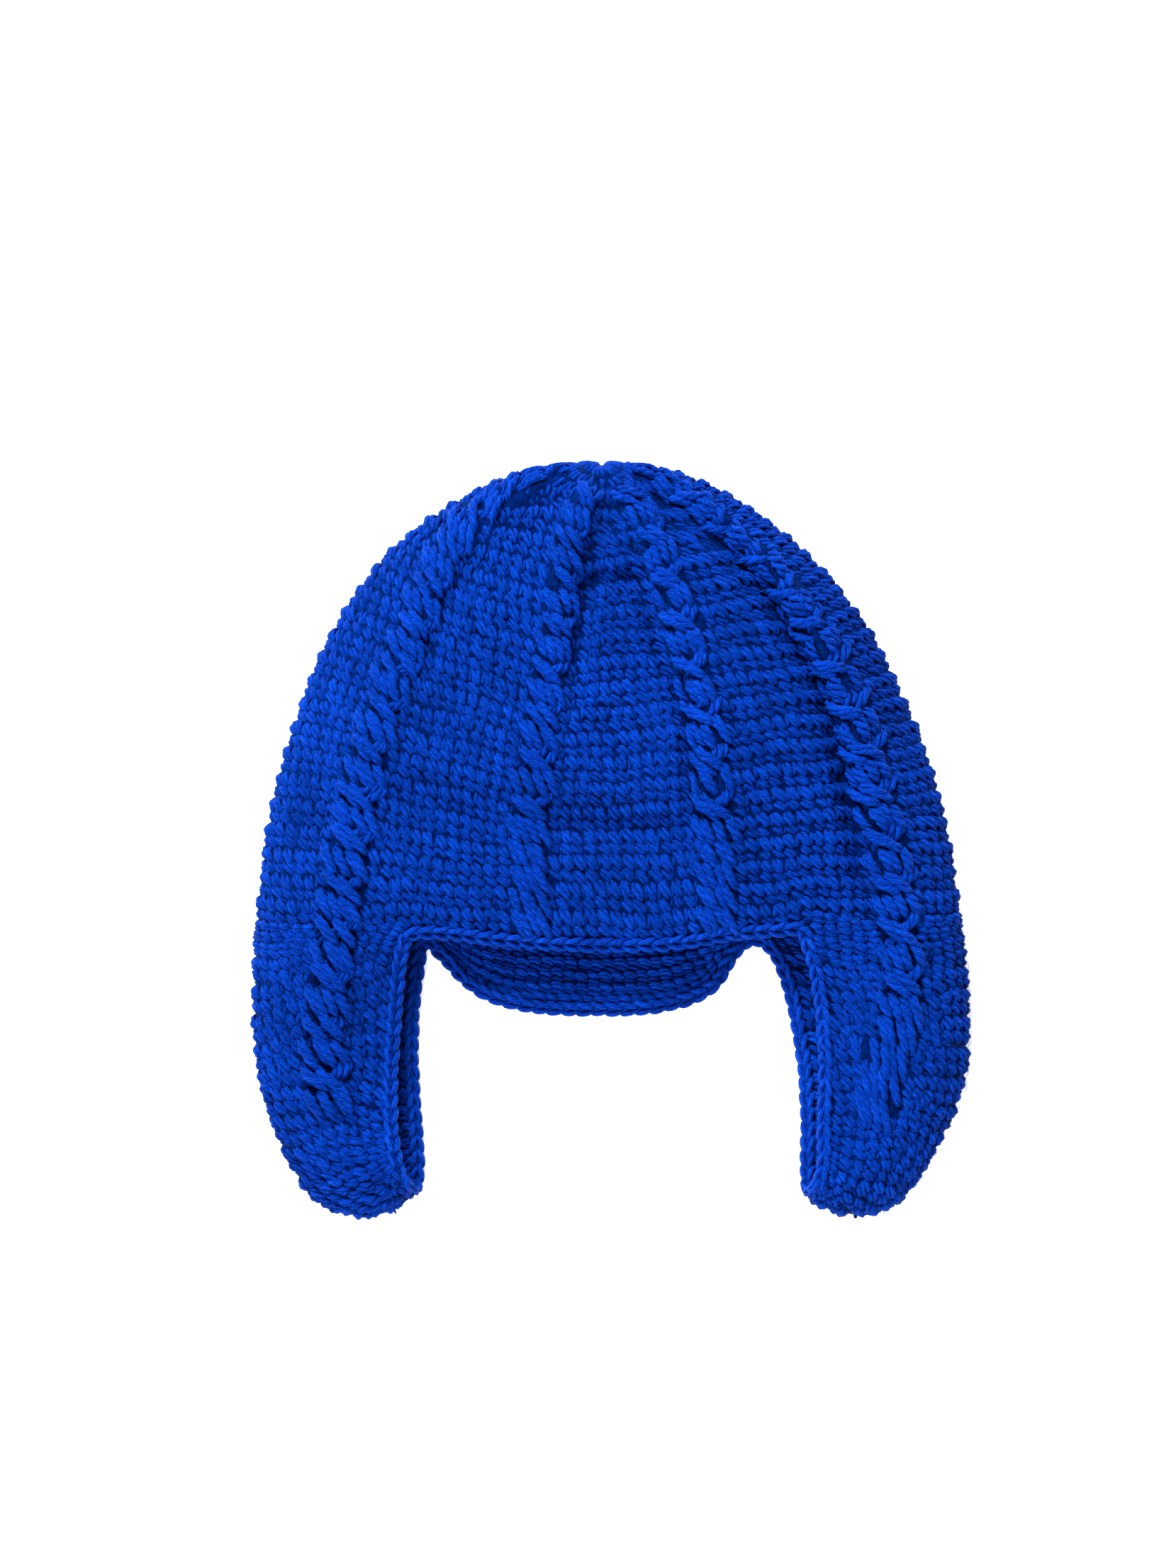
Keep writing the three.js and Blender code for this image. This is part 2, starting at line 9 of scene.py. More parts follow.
import bpy
import numpy as np
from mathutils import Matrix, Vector


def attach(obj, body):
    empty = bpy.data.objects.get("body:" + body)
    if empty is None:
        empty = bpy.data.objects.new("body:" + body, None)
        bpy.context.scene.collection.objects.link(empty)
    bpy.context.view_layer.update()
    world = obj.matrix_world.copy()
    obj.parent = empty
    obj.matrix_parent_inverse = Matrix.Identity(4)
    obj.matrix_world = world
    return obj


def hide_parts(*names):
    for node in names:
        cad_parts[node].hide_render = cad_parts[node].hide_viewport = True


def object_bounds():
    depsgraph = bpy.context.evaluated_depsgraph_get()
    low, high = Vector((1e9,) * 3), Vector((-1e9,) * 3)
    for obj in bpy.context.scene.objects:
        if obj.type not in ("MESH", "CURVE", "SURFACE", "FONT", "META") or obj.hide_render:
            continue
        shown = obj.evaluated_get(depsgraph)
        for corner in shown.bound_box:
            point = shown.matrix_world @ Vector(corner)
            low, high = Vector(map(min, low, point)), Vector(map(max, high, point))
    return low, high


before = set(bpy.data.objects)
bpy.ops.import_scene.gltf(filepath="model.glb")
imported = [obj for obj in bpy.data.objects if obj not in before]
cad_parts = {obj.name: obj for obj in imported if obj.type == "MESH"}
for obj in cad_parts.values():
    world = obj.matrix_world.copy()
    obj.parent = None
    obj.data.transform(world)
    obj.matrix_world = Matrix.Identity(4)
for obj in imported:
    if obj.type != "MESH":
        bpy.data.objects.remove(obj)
CAD_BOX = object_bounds()

LOG = logging.getLogger("hat")
MM = 0.001
Array = np.ndarray

# Fabric and how it lies, in millimetres
WALL = 4.5  # thickness of the fabric
GROUND_DEPTH = 1.1  # from the tops of the stitches down to the ground fabric
LINING_DEPTH = 1.5  # the same from the inside of the flaps
SEAM_GAP = 0.4  # between the crown's fabric and what hangs from its rim
FOLD_LINE = 7.6  # height of the side folds
UNDER_REACH = 9.0  # how far in from the side the back layer curves down
BACK_RISE = 0.7  # how much higher the crown's back lies than that of the flaps
EDGING_REST = 2.35  # height of the edging's middle where it lies on the floor
CROWN_TOP = 142.0  # y of the gathered top
PANEL_START = 9.0  # how far below the gathered top the panels and cables start
RIM_LEVEL = -33.0  # y at which the panels' rows end, before they follow the rim
RIM_REACH = 2.2  # how far the panels' stitches run on under the edging
CABLE_RUN = 178.0  # length of a cable from the gathered top to the rim
CABLE_COVER = 6.9  # half the width that a cable hides
RIBBON_WIDTH = 26.0  # width of the strip of fabric that carries a cable

# How far the front layer's fold reaches inward, and how high it swells: y, reach, rise
SWELL = [(-145, 21, 11.5), (-110, 24, 12.5), (-60, 27, 13.5), (-30, 34, 16), (0, 41, 19),
         (40, 43, 20.5), (100, 38, 17), (145, 33, 14)]

# Crown rounds from the gathered top to the rim: at, then x and y of the left fold, the four
# cables and the right fold
ROUNDS = [
    (0, -3.6, 142.1, -3.6, 142.1, -3.6, 142.1, -3.6, 142.1, -3.6, 142.1, -3.6, 142.1),
    (0.06, -18, 141, -16.6, 138.4, -7.8, 132.5, 3.4, 133.2, 9.3, 138.4, 10.6, 140.9),
    (0.14, -37, 137.4, -33.1, 132.4, -13.4, 119.7, 12.5, 121.2, 24.4, 129.5, 29.4, 137.4),
    (0.24, -58.9, 127.7, -50.5, 119.5, -17.2, 102.7, 20.3, 104.6, 41.2, 116.3, 51.1, 126.3),
    (0.36, -82.3, 110.2, -65.6, 100.2, -20.1, 81.6, 26.6, 84, 61, 99.7, 73.1, 109.2),
    (0.5, -102.4, 83.9, -75.4, 72.8, -24.2, 57, 32.5, 58.8, 78.2, 75.9, 94.4, 84),
    (0.65, -117, 50.8, -86.6, 43.9, -27.7, 29.9, 36.9, 31.2, 91.7, 46.3, 111.2, 52.2),
    (0.82, -128.2, 11.5, -95.2, 7.9, -30.8, -0.9, 38.9, -0.9, 101.1, 10.5, 124.6, 14),
    (1, -133.7, -31, -101.2, -31, -30.5, -34.2, 39.6, -32, 107.1, -28, 131.6, -28),
]

# Lower borders of the crown's two layers: x, y
FRONT_RIM = [(-140, -31), (-80, -31), (-67, -30.6), (-58.7, -31.1), (-50, -32.3), (-40, -33.2),
             (-30, -34.2), (-6, -35.4), (21, -35), (31, -33.7), (41.5, -31.6), (52, -30.2),
             (62, -29.8), (71, -28.3), (80, -28), (140, -28)]
BACK_RIM = [(-140, -31), (-134, -31), (132, -28), (140, -28)]

# Ear flaps, seam to slit end: x and y of the front half's edge, the fold, the back half's edge
LEFT_FLAP = [
    (-80, -31, -133.7, -31, -70.2, -31), (-80.8, -35.5, -134.2, -36, -71, -34.4),
    (-82, -41, -134.7, -42, -75.3, -38.6), (-83.3, -51, -135, -53, -76.8, -49),
    (-84.6, -64, -134.9, -66, -78.3, -62), (-85.5, -77, -134.1, -79, -78.9, -75),
    (-86.2, -90, -132.2, -92, -78.8, -88), (-86.2, -101, -128.4, -104.5, -78.1, -99),
    (-85.7, -110, -123.3, -118.5, -77.3, -108.5), (-84.9, -117, -115.5, -131.3, -76.9, -116),
    (-83.9, -122.5, -105.3, -139.3, -76.6, -121.5), (-82.6, -127, -94, -142, -76.7, -126),
    (-81.2, -129.6, -84, -140.4, -77, -129), (-79.8, -131.2, -75.8, -136.4, -77.5, -131),
]
RIGHT_FLAP = [
    (76.4, -28, 131.6, -28, 54.4, -28.9), (76.9, -34, 132.4, -34, 55.6, -33.5),
    (78.3, -40, 133.3, -41, 63.2, -37.6), (80.3, -47.5, 134.2, -50, 68.4, -46.8),
    (82.3, -59, 134.9, -61, 72, -58.8), (83.6, -72, 134.9, -73.5, 74.8, -71.8),
    (84, -85, 134.1, -86.5, 76.8, -85), (83.9, -97, 130.7, -99.5, 77.8, -96.5),
    (83.6, -107, 125.4, -111.5, 78.1, -105.5), (83.6, -115, 118, -124.7, 78, -113.5),
    (83.3, -121.5, 108.6, -136, 77.9, -120), (82.4, -126.5, 96, -141.7, 77.8, -125.5),
    (81.2, -129.8, 85.5, -141, 77.9, -129.3), (79.9, -131.9, 76.7, -137.1, 78.3, -131.8),
]

# Nape flap, left to right: x at the seam, then x and y of the lower edge
NAPE = [(-69.8, -69.3, -34.2), (-66, -65.7, -35.6), (-61.5, -62.8, -38.8), (-57, -58.4, -43.2),
        (-49.5, -50.7, -51.2), (-40, -41.2, -56.4), (-26, -26.2, -59.5), (-3, -3.1, -60.3),
        (15, 15, -59.5), (27.5, 27.9, -56.5), (36, 36.3, -51.6), (41, 40.6, -44.6),
        (45.5, 44.5, -39.4), (49.5, 48.4, -35.6), (54, 53.5, -33.5)]


class Lie(Enum):
    """How a stretch of the edging lies."""

    FRONT = "on the front layer's edge"
    BACK = "on the floor, along the back layer's edge"
    TURN = "turning round a flap's end"


# Centre line of the edging, one closed ring: how it lies, then its points
EDGING_RING = [
    (Lie.FRONT, [(-72.5, -33.6), (-67, -33.4), (-58.7, -33.9), (-50, -35.1), (-40, -36), (-30, -37),
               (-18, -37.9), (-6, -38.2), (8, -38.2), (21, -37.8), (31, -36.5), (41.5, -34.4),
               (52, -33), (62, -32.7), (68.5, -31.9), (72.3, -33.2), (74.2, -38.2), (77.4, -47.6),
               (79.4, -59), (80.7, -72), (81.1, -85), (81, -97), (80.7, -107), (80.7, -115),
               (80.4, -121.3), (79.4, -126.1)]),
    (Lie.TURN, [(77.9, -129.6, 14), (76.5, -131.8, 11), (75.7, -132.6, 7.6), (75.2, -131.4, 4.3),
              (75, -129, 2.6)]),
    (Lie.BACK, [(74.9, -124), (75.1, -113.5), (75, -105.5), (74.8, -96.5), (73.8, -85),
              (71.9, -71.8), (69.2, -59), (65.7, -47.8), (62.4, -41.6), (58.4, -37.9),
              (53.8, -36.6), (49.8, -38.2), (46.7, -41.4), (43.4, -46), (38.8, -53.8),
              (29.4, -59.2), (15.4, -62.4), (-3.1, -63.2), (-26.8, -62.4), (-42.5, -59.1),
              (-52.9, -53.4), (-60.8, -45.2), (-65.3, -40.7), (-67.6, -38), (-69.9, -37.1),
              (-71.9, -38.3), (-72.8, -42), (-74, -49), (-75.5, -62), (-76.1, -75), (-76, -88),
              (-75.3, -99), (-74.5, -108.5), (-74.1, -116), (-73.8, -123)]),
    (Lie.TURN, [(-74.1, -128.6, 2.6), (-74.4, -130.9, 4.3), (-74.9, -132, 7.6), (-75.8, -131.2, 11),
              (-77.6, -129, 14)]),
    (Lie.FRONT, [(-79.7, -125.6), (-81, -122), (-82, -117), (-82.8, -110), (-83.3, -101),
               (-83.3, -90), (-82.6, -77), (-81.7, -64), (-80.4, -51), (-79.1, -42),
               (-77.7, -36.9), (-75.7, -34.4)]),
]

# Cables that run on from the crown into the ear flaps
FLAP_CABLES = {
    "a": [(-105.2, -53.2), (-107.2, -71.5), (-106.5, -86), (-104, -101)],
    "d": [(108.7, -51.3), (108.7, -63.4), (105.7, -76.6), (100.6, -91.6), (97.5, -104)],
}

# Where on the page, in y, each cable's strands stop crossing and run straight
CROSSED_ABOVE = {"a": -200.0, "b": 2.7, "c": 6.7, "d": -63.0}

# Folds in the front layer: path, depth (a ridge is negative) and width
FOLDS = [
    ([(-24, 9), (4, 6), (30, 3)], 3.6, 6.5),
    ([(-20, 21), (4, 19), (27, 16)], -1.8, 8),
    ([(-86, 25), (-62, 14), (-36, 6)], 3.2, 7),
    ([(-76, 37), (-55, 27), (-38, 20)], -1.6, 9),
    ([(20, 132), (37, 117.5), (50, 105), (61, 90), (71, 72), (80, 54), (87, 28), (91, 4),
      (97, -26)], 9.6, 4.8),
    ([(40, 123), (58, 105.5), (67, 92), (77, 73), (86, 54), (93, 25), (97, 2)], -2.4, 4.5),
    ([(3, 116), (5, 84), (8, 50), (9, 10)], 3.4, 13),
    ([(-2, 124), (-9, 98), (-13, 72), (-15, 50)], 4.6, 5),
    ([(6, 120), (12, 95), (20, 68), (28, 44), (31, 18), (30, 2)], 5.2, 4.4),
    ([(-12, 96), (0, 98.5), (13, 96)], 4.4, 4),
    ([(-50, 108), (-58, 96), (-67, 76), (-74, 58)], 3.4, 4.6),
    ([(-12, 138), (-24, 122), (-36, 108)], 2.4, 5),
    ([(-2, 139), (-1, 128), (1, 112)], 3.2, 4),
    ([(6, 138), (20, 124), (30, 108)], 2.4, 4.5),
    ([(-104, 60), (-113, 25), (-118, -12)], 1.8, 6),
    ([(-48, -36), (0, -40), (48, -34)], 2.4, 17),
    ([(-82, -40), (-86, -75), (-86, -104), (-83, -126)], 4, 12),
    ([(79, -38), (83, -72), (84, -104), (82, -127)], 4, 12),
]

# How high a cable's strand stands at even steps along it: lying on top, and running under
OVER = np.array([-0.3, 0.65, 0.95, 1.0, 0.9, 0.65, 0.2, -0.6])
UNDER = np.array([-0.2, 0.3, 0.35, 0.1, -0.3, -0.6, -0.8, -0.9])

# Drawn-in strands at the top: from and to, as shares of the way to the rim, and their rise
GATHERS = ((0.002, 0.04), (0.03, 0.07), (0.06, 0.105))
GATHER_RISE = np.array([-2.2, -0.6, 0.2, 0.4, 0.3, -0.2, -1.4])

# A stitch's width, a row's height and a rise of one, by which a strand's points are spaced
STITCH_SCALE = (5.6, 10.0, 1.0)

# Tints of the fibres' sheen and gloss
SHEEN_TINT = (0.0, 0.22, 1.0, 1.0)
GLOSS_TINT = (0.03, 0.3, 1.0, 1.0)

# How the rows of the three front panels stand higher at the left than at the right
PANEL_TILTS = (6.5, -1.5, -2.5)


def smoothstep(low: float, high: float, value: Array) -> Array:
    """A soft step.

    Args:
        low: Where the step starts.
        high: Where it ends.
        value: The values to step.

    Returns:
        0 before low, 1 after high, and a smooth rise between.
    """
    t = np.clip((np.asarray(value, float) - low) / (high - low), 0, 1)
    return t * t * (3 - 2 * t)


def curve(stations: Array, points: Array, at: Array) -> Array:
    """A smooth curve through points.

    Args:
        stations: Rising numbers, one for each point.
        points: One row for each station.
        at: The stations wanted.

    Returns:
        One row for each wanted station.
    """
    s = np.asarray(stations, float)
    p = np.asarray(points, float).reshape(len(s), -1)
    order = np.arange(len(s))
    low = np.maximum(order - 1, 0)
    high = np.minimum(order + 1, len(s) - 1)
    slope = (p[high] - p[low]) / (s[high] - s[low])[:, None]
    at = np.atleast_1d(np.asarray(at, float))
    i = np.searchsorted(s[1:-1], at, side="left")
    span = (s[i + 1] - s[i])[:, None]
    t = np.clip((at - s[i])[:, None] / span, 0, 1)
    return ((2 * t**3 - 3 * t**2 + 1) * p[i] + (t**3 - 2 * t**2 + t) * span * slope[i]
            + (3 * t**2 - 2 * t**3) * p[i + 1] + (t**3 - t**2) * span * slope[i + 1])


def run_lengths(points: Array) -> Array:
    """Length along a polyline at each of its points."""
    return np.concatenate([[0.0], np.cumsum(np.linalg.norm(np.diff(points, axis=0), axis=1))])


def between(at: Array, run: Array, points: Array) -> Array:
    """The points of a polyline at lengths along it."""
    return np.stack([np.interp(at, run, column) for column in np.asarray(points).T], 1)


def unit(vectors: Array) -> Array:
    """The vectors, each at length 1."""
    return vectors / np.maximum(np.linalg.norm(vectors, axis=-1, keepdims=True), 1e-9)


def cable_share(along: Array) -> Array:
    """Width of a cable, as a share of its full one, at lengths from the gathered top."""
    return np.interp(along, [0, 60, 130], [0.58, 0.74, 1])


def put(name: str, data: bpy.types.ID) -> bpy.types.Object:
    """A new object of a mesh, light or camera, in the scene."""
    thing = bpy.data.objects.new(name, data)
    bpy.context.scene.collection.objects.link(thing)
    return thing


def across(slope: Array) -> Array:
    """Directions at right angles to the slopes of a line, at length 1."""
    return unit(np.stack([-slope[:, 1], slope[:, 0]], 1))


class Trace:
    """A polyline on the floor plane that tells how far points are from it."""

    def __init__(self, points: Array) -> None:
        """Keeps the points with their run lengths and normals."""
        self.points = np.asarray(points, float)
        self.run = run_lengths(self.points)
        self.total = float(self.run[-1])
        order = np.arange(len(self.points))
        step = (self.points[np.minimum(order + 1, len(order) - 1)]
                - self.points[np.maximum(order - 1, 0)])
        self.normals = unit(np.stack([step[:, 1], -step[:, 0]], 1))

    def nearest(self, spots: Array) -> tuple[Array, Array, Array]:
        """Finds the nearest place on the line.

        Args:
            spots: Places on the floor plane, one row each.

        Returns:
            Distance, length along the line, and the line's normal there.
        """
        parts = [self._nearest(spots[i:i + 6000]) for i in range(0, len(spots), 6000)]
        return tuple(np.concatenate(part) for part in zip(*parts))

    def _nearest(self, spots: Array) -> tuple[Array, Array, Array]:
        """The same for a few thousand places at most."""
        start = self.points[:-1]
        step = np.diff(self.points, axis=0)
        rel = spots[:, None] - start[None]
        t = np.clip((rel * step).sum(2) / (step**2).sum(1), 0, 1)
        gap = ((rel - t[..., None] * step)**2).sum(2)
        best = gap.argmin(1)
        rows = np.arange(len(spots))
        t = t[rows, best]
        normal = (self.normals[best] * (1 - t)[:, None] + self.normals[best + 1] * t[:, None])
        along = self.run[best] + t * (self.run[best + 1] - self.run[best])
        return np.sqrt(gap[rows, best]), along, unit(normal)


class Layer(Enum):
    """Which wall of the flattened hat a place is on."""

    FRONT = "front"
    BACK = "back"


@dataclass
class HatForm:
    """The hat's two walls as it lies, in millimetres, without its cables' relief."""

    fold: Trace = field(init=False)
    cables: dict[str, Trace] = field(init=False)
    folds: list[tuple[Trace, float, float]] = field(init=False)

    def __post_init__(self) -> None:
        """Traces the side fold, the cables and the folds of the front layer."""
        steps = np.linspace(0, 1, 91)
        left = self.flap_column(LEFT_FLAP, 1, np.linspace(len(LEFT_FLAP) - 1, 0, 61))
        right = self.flap_column(RIGHT_FLAP, 1, np.linspace(0, len(RIGHT_FLAP) - 1, 61))
        self.fold = Trace(np.concatenate([left, self.meridian(0, steps[::-1])[1:],
                                          self.meridian(5, steps)[1:], right[1:]]))
        self.cables = {}
        for name in "abcd":
            points = self.meridian(1 + "abcd".index(name), np.linspace(0, 1, 61))
            if name in FLAP_CABLES:
                flap = self.even([points[-1], *FLAP_CABLES[name]], 4)
                points = np.concatenate([points, flap[1:]])
            self.cables[name] = Trace(points)
        self.folds = [(Trace(self.even(path, 4)), depth, width) for path, depth, width in FOLDS]

    @staticmethod
    def even(points: list, step: float) -> Array:
        """The smooth curve through the points as an even polyline of about that step."""
        run = run_lengths(np.asarray(points, float))
        return curve(run, points, np.linspace(0, run[-1], max(2, round(run[-1] / step)) + 1))

    @staticmethod
    def meridian(index: int, share: Array) -> Array:
        """Fold or cable number index of the crown, at shares of the way down from the top."""
        table = np.array(ROUNDS, float)
        return curve(table[:, 0], table[:, 1 + 2 * index:3 + 2 * index], share)

    @staticmethod
    def flap_column(rows: list, index: int, station: Array) -> Array:
        """Front edge, fold or back edge (0, 1, 2) of an ear flap at stations from the seam."""
        table = np.array(rows, float)
        return curve(np.arange(len(rows)), table[:, 2 * index:2 * index + 2], station)

    @staticmethod
    def rim(layer: Layer, x: Array) -> Array:
        """Height on the page of a layer's lower border at each x."""
        table = np.array(FRONT_RIM if layer is Layer.FRONT else BACK_RIM, float)
        return curve(table[:, 0], table[:, 1], x)[:, 0]

    def fold_depth(self, spots: Array) -> Array:
        """How far the folds lower the front layer at each place."""
        total = np.zeros(len(spots))
        for trace, depth, width in self.folds:
            distance, along, _ = trace.nearest(spots)
            share = along / trace.total
            fade = smoothstep(-0.12, 0.3, share) * smoothstep(-0.12, 0.3, 1 - share)
            total += depth * fade * np.exp(-(distance / width)**2)
        return total

    def surface(self, layer: Layer, spots: Array) -> tuple[Array, Array]:
        """A wall's outer surface.

        Args:
            layer: The front or the back wall.
            spots: Places on the floor plane, one row each.

        Returns:
            The surface points and their outward normals.
        """
        distance, _, side = self.fold.nearest(spots)
        front = layer is Layer.FRONT
        if front:
            table = np.array(SWELL, float)
            reach, depth = curve(table[:, 0], table[:, 1:], spots[:, 1]).T
        else:
            reach = np.full(len(spots), UNDER_REACH)
            depth = FOLD_LINE - BACK_RISE * smoothstep(-24, 0, spots[:, 1])
        flat = 1 - np.minimum(distance / reach, 1)
        lift = np.sqrt(np.maximum(1 - flat**2, 0))
        sign = 1 if front else -1
        normal = unit(np.stack([-side[:, 0] * depth * flat, -side[:, 1] * depth * flat,
                                sign * reach * lift], 1))
        seam = -31 + 3 * smoothstep(-80, 76, spots[:, 0])
        normal[:, 1] *= smoothstep(0, 14, np.abs(spots[:, 1] - seam))
        normal = unit(normal)
        height = FOLD_LINE + sign * depth * lift
        if front:
            height = height - self.fold_depth(spots) * smoothstep(0, 0.75, lift)
        return np.column_stack([spots, height]), normal

    def tuck(self, points: Array, margin: float) -> Array:
        """Pulls back what stands out past the side fold.

        Args:
            points: Any array of places, in millimetres.
            margin: How far they may stand out.

        Returns:
            The places, of the same shape.
        """
        flat = points.reshape(-1, 3).copy()
        distance, along, inward = self.fold.nearest(flat[:, :2])
        near = between(along, self.fold.run, self.fold.points)
        outside = ((flat[:, :2] - near) * inward).sum(1) < 0
        outside &= (along > 0.5) & (along < self.fold.total - 0.5)
        flat[:, :2] += inward * np.where(outside, np.maximum(distance - margin, 0), 0)[:, None]
        return flat.reshape(points.shape)

    def crown_spots(self, share: Array, column: Array, layer: Layer) -> Array:
        """Places on the crown.

        Args:
            share: Share of the way from the top to the rim, one for each place.
            column: 0 at the left fold, 1 to 4 at the cables, 5 at the right fold.
            layer: The front or the back wall.

        Returns:
            Places on the floor plane, one row each.
        """
        knots = np.stack([self.meridian(k, share) for k in range(6)], 1)
        ends = np.stack([self.meridian(k, [1.0])[0] for k in range(6)])
        k = np.clip(np.floor(column).astype(int), 0, 4)
        part = (column - k)[:, None]
        rows = np.arange(len(k))
        spot = knots[rows, k] * (1 - part) + knots[rows, k + 1] * part
        end = ends[k] * (1 - part) + ends[k + 1] * part
        spot[:, 1] += smoothstep(0.72, 1, share) * (self.rim(layer, end[:, 0]) - end[:, 1])
        return spot


class Patch:
    """A piece of surface as a grid: columns across from left to right, rows from top to edge."""

    def __init__(self, points: Array, columns: int = 90) -> None:
        """Evens out the columns by length and finds the normals.

        Args:
            points: Grid of surface points, rows by columns by 3, in millimetres.
            columns: How many columns to keep.
        """
        rows = []
        for line in points:
            run = run_lengths(line)
            at = np.linspace(0, run[-1], columns)
            rows.append(between(at, run, line))
        self.points = np.array(rows)
        self.widths = np.array([run_lengths(line)[-1] for line in self.points])
        self.length = float(run_lengths(self.points[:, columns // 2])[-1])
        down = np.gradient(self.points, axis=0)
        right = np.gradient(self.points, axis=1)
        self.normals = unit(np.cross(down, right))

    def sample(self, u: Array, v: Array, lift: Array) -> tuple[Array, Array]:
        """Points above the surface.

        Args:
            u: Share of the way across, 0 to 1.
            v: Share of the way down, 0 to 1.
            lift: Height above the surface in millimetres.

        Returns:
            The points and the surface normals under them.
        """
        rows, columns = self.points.shape[:2]
        x = np.clip(u, -0.06, 1.06) * (columns - 1)
        y = np.clip(v, -0.06, 1.06) * (rows - 1)
        i = np.clip(x.astype(int), 0, columns - 2)
        j = np.clip(y.astype(int), 0, rows - 2)
        s = (x - i)[..., None]
        t = (y - j)[..., None]

        def blend(grid: Array) -> Array:
            """The grid's values between its four nearest points."""
            top = grid[j, i] * (1 - s) + grid[j, i + 1] * s
            low = grid[j + 1, i] * (1 - s) + grid[j + 1, i + 1] * s
            return top * (1 - t) + low * t

        normal = unit(blend(self.normals))
        return blend(self.points) + normal * np.asarray(lift)[..., None], normal


@dataclass(frozen=True)
class Strand:
    """One visible bit of yarn in a stitch, as plies that wind round each other.

    The path is in stitches across, rows down and millimetres up. The plies stand off the path by
    the wide distance along the fabric and the tall one away from it, in millimetres.
    """

    path: tuple[tuple[float, float, float], ...]
    radius: float
    plies: int = 1
    wide: float = 0.0
    tall: float = 0.0
    turn: float = 1.2
    narrow: float = 0.5
    # shade: painted light where positive, on raised strands; painted shade where negative, on low
    # strands in the pits
    shade: float = 0.0

    def smooth(self, count: int) -> Array:
        """The path as an even smooth polyline of count points."""
        points = np.array(self.path)
        run = run_lengths(points * STITCH_SCALE)
        return curve(run, points, np.linspace(0, run[-1], count))

    def width(self, count: int) -> Array:
        """How far the plies spread at each of count points, as a share: full near the top."""
        return np.interp(np.linspace(0, 1, count), [0, 0.3, 1], [0.75, 1.0, self.narrow])


class YarnGuide:
    """Collects strands as polylines with thickness, upward side, and a colour shift of random
    variation plus painted light and shade.
    """

    def __init__(self, seed: int) -> None:
        """Starts with no strands and a fixed seed."""
        self.rng = np.random.default_rng(seed)
        self.runs: list[tuple[Array, Array, Array, Array]] = []

    def add(self, points: Array, ups: Array, radius: float | Array, ends: float = 0.72,
            shade: Array | float = 0.0) -> None:
        """Adds strands of the same number of points.

        Args:
            points: Strands by points by 3, in millimetres.
            ups: The side that lies away from the fabric, of the same shape.
            radius: Half the yarn's thickness in millimetres, one for all or one each.
            ends: Thickness left at the two ends, as a share.
            shade: Colour shift that the strands share: painted light on raised strands, painted
                shade
            on low ones, and a stitch's random variation where given.
        """
        count, steps = points.shape[:2]
        t = np.linspace(0, 1, steps)
        taper = ends + (1 - ends) * np.minimum(1, 4.5 * np.minimum(t, 1 - t))
        jitter = self.rng.uniform(0.92, 1.08, (count, 1))
        thick = np.asarray(radius).reshape(-1, 1) * jitter * taper
        # random colour variation plus the painted light and shade given as shade
        tone = np.repeat(self.rng.normal(0, 0.7, (count, 1)) + np.reshape(shade, (-1, 1)), steps, 1)
        self.runs.append((points, ups, thick, tone))

    def mesh(self, name: str) -> bpy.types.Object:
        """The guide as a mesh object of loose edges with its attributes, in metres."""
        points = np.concatenate([run[0].reshape(-1, 3) for run in self.runs])
        ups = np.concatenate([run[1].reshape(-1, 3) for run in self.runs])
        thick = np.concatenate([run[2].ravel() for run in self.runs])
        tone = np.concatenate([run[3].ravel() for run in self.runs])
        points[:, 2] = np.maximum(points[:, 2], thick * 0.96)
        edges, start = [], 0
        for run in self.runs:
            count, steps = run[0].shape[:2]
            index = start + np.arange(count * steps).reshape(count, steps)
            edges.append(np.stack([index[:, :-1].ravel(), index[:, 1:].ravel()], 1))
            start += count * steps
        mesh = bpy.data.meshes.new(name)
        mesh.from_pydata(points * MM, np.concatenate(edges).tolist(), [])
        for key, kind, slot, values in (("thick", "FLOAT", "value", thick * MM),
                                        ("tone", "FLOAT", "value", tone),
                                        ("up", "FLOAT_VECTOR", "vector", ups.ravel())):
            layer = mesh.attributes.new(key, kind, "POINT")
            layer.data.foreach_set(slot, values.astype(np.float32))
        return put(name, mesh)


class Wire:
    """A socket of a node tree, with the sums that the trees use."""

    def __init__(self, tree: "Tree", socket: bpy.types.NodeSocket) -> None:
        """Keeps the tree and the socket."""
        self.tree = tree
        self.socket = socket

    def math(self, operation: str, *others: "Wire | float") -> "Wire":
        """A Math node of this value and the others."""
        return self.tree.math(operation, self, *others)

    def __add__(self, other: "Wire | float") -> "Wire":
        """This plus other."""
        return self.math("ADD", other)

    __radd__ = __add__

    def __mul__(self, other: "Wire | float") -> "Wire":
        """This times other."""
        return self.math("MULTIPLY", other)

    __rmul__ = __mul__

    def __sub__(self, other: "Wire | float") -> "Wire":
        """This minus other."""
        return self.math("SUBTRACT", other)

    def __rsub__(self, other: "Wire | float") -> "Wire":
        """Other minus this."""
        return self.tree.math("SUBTRACT", other, self)


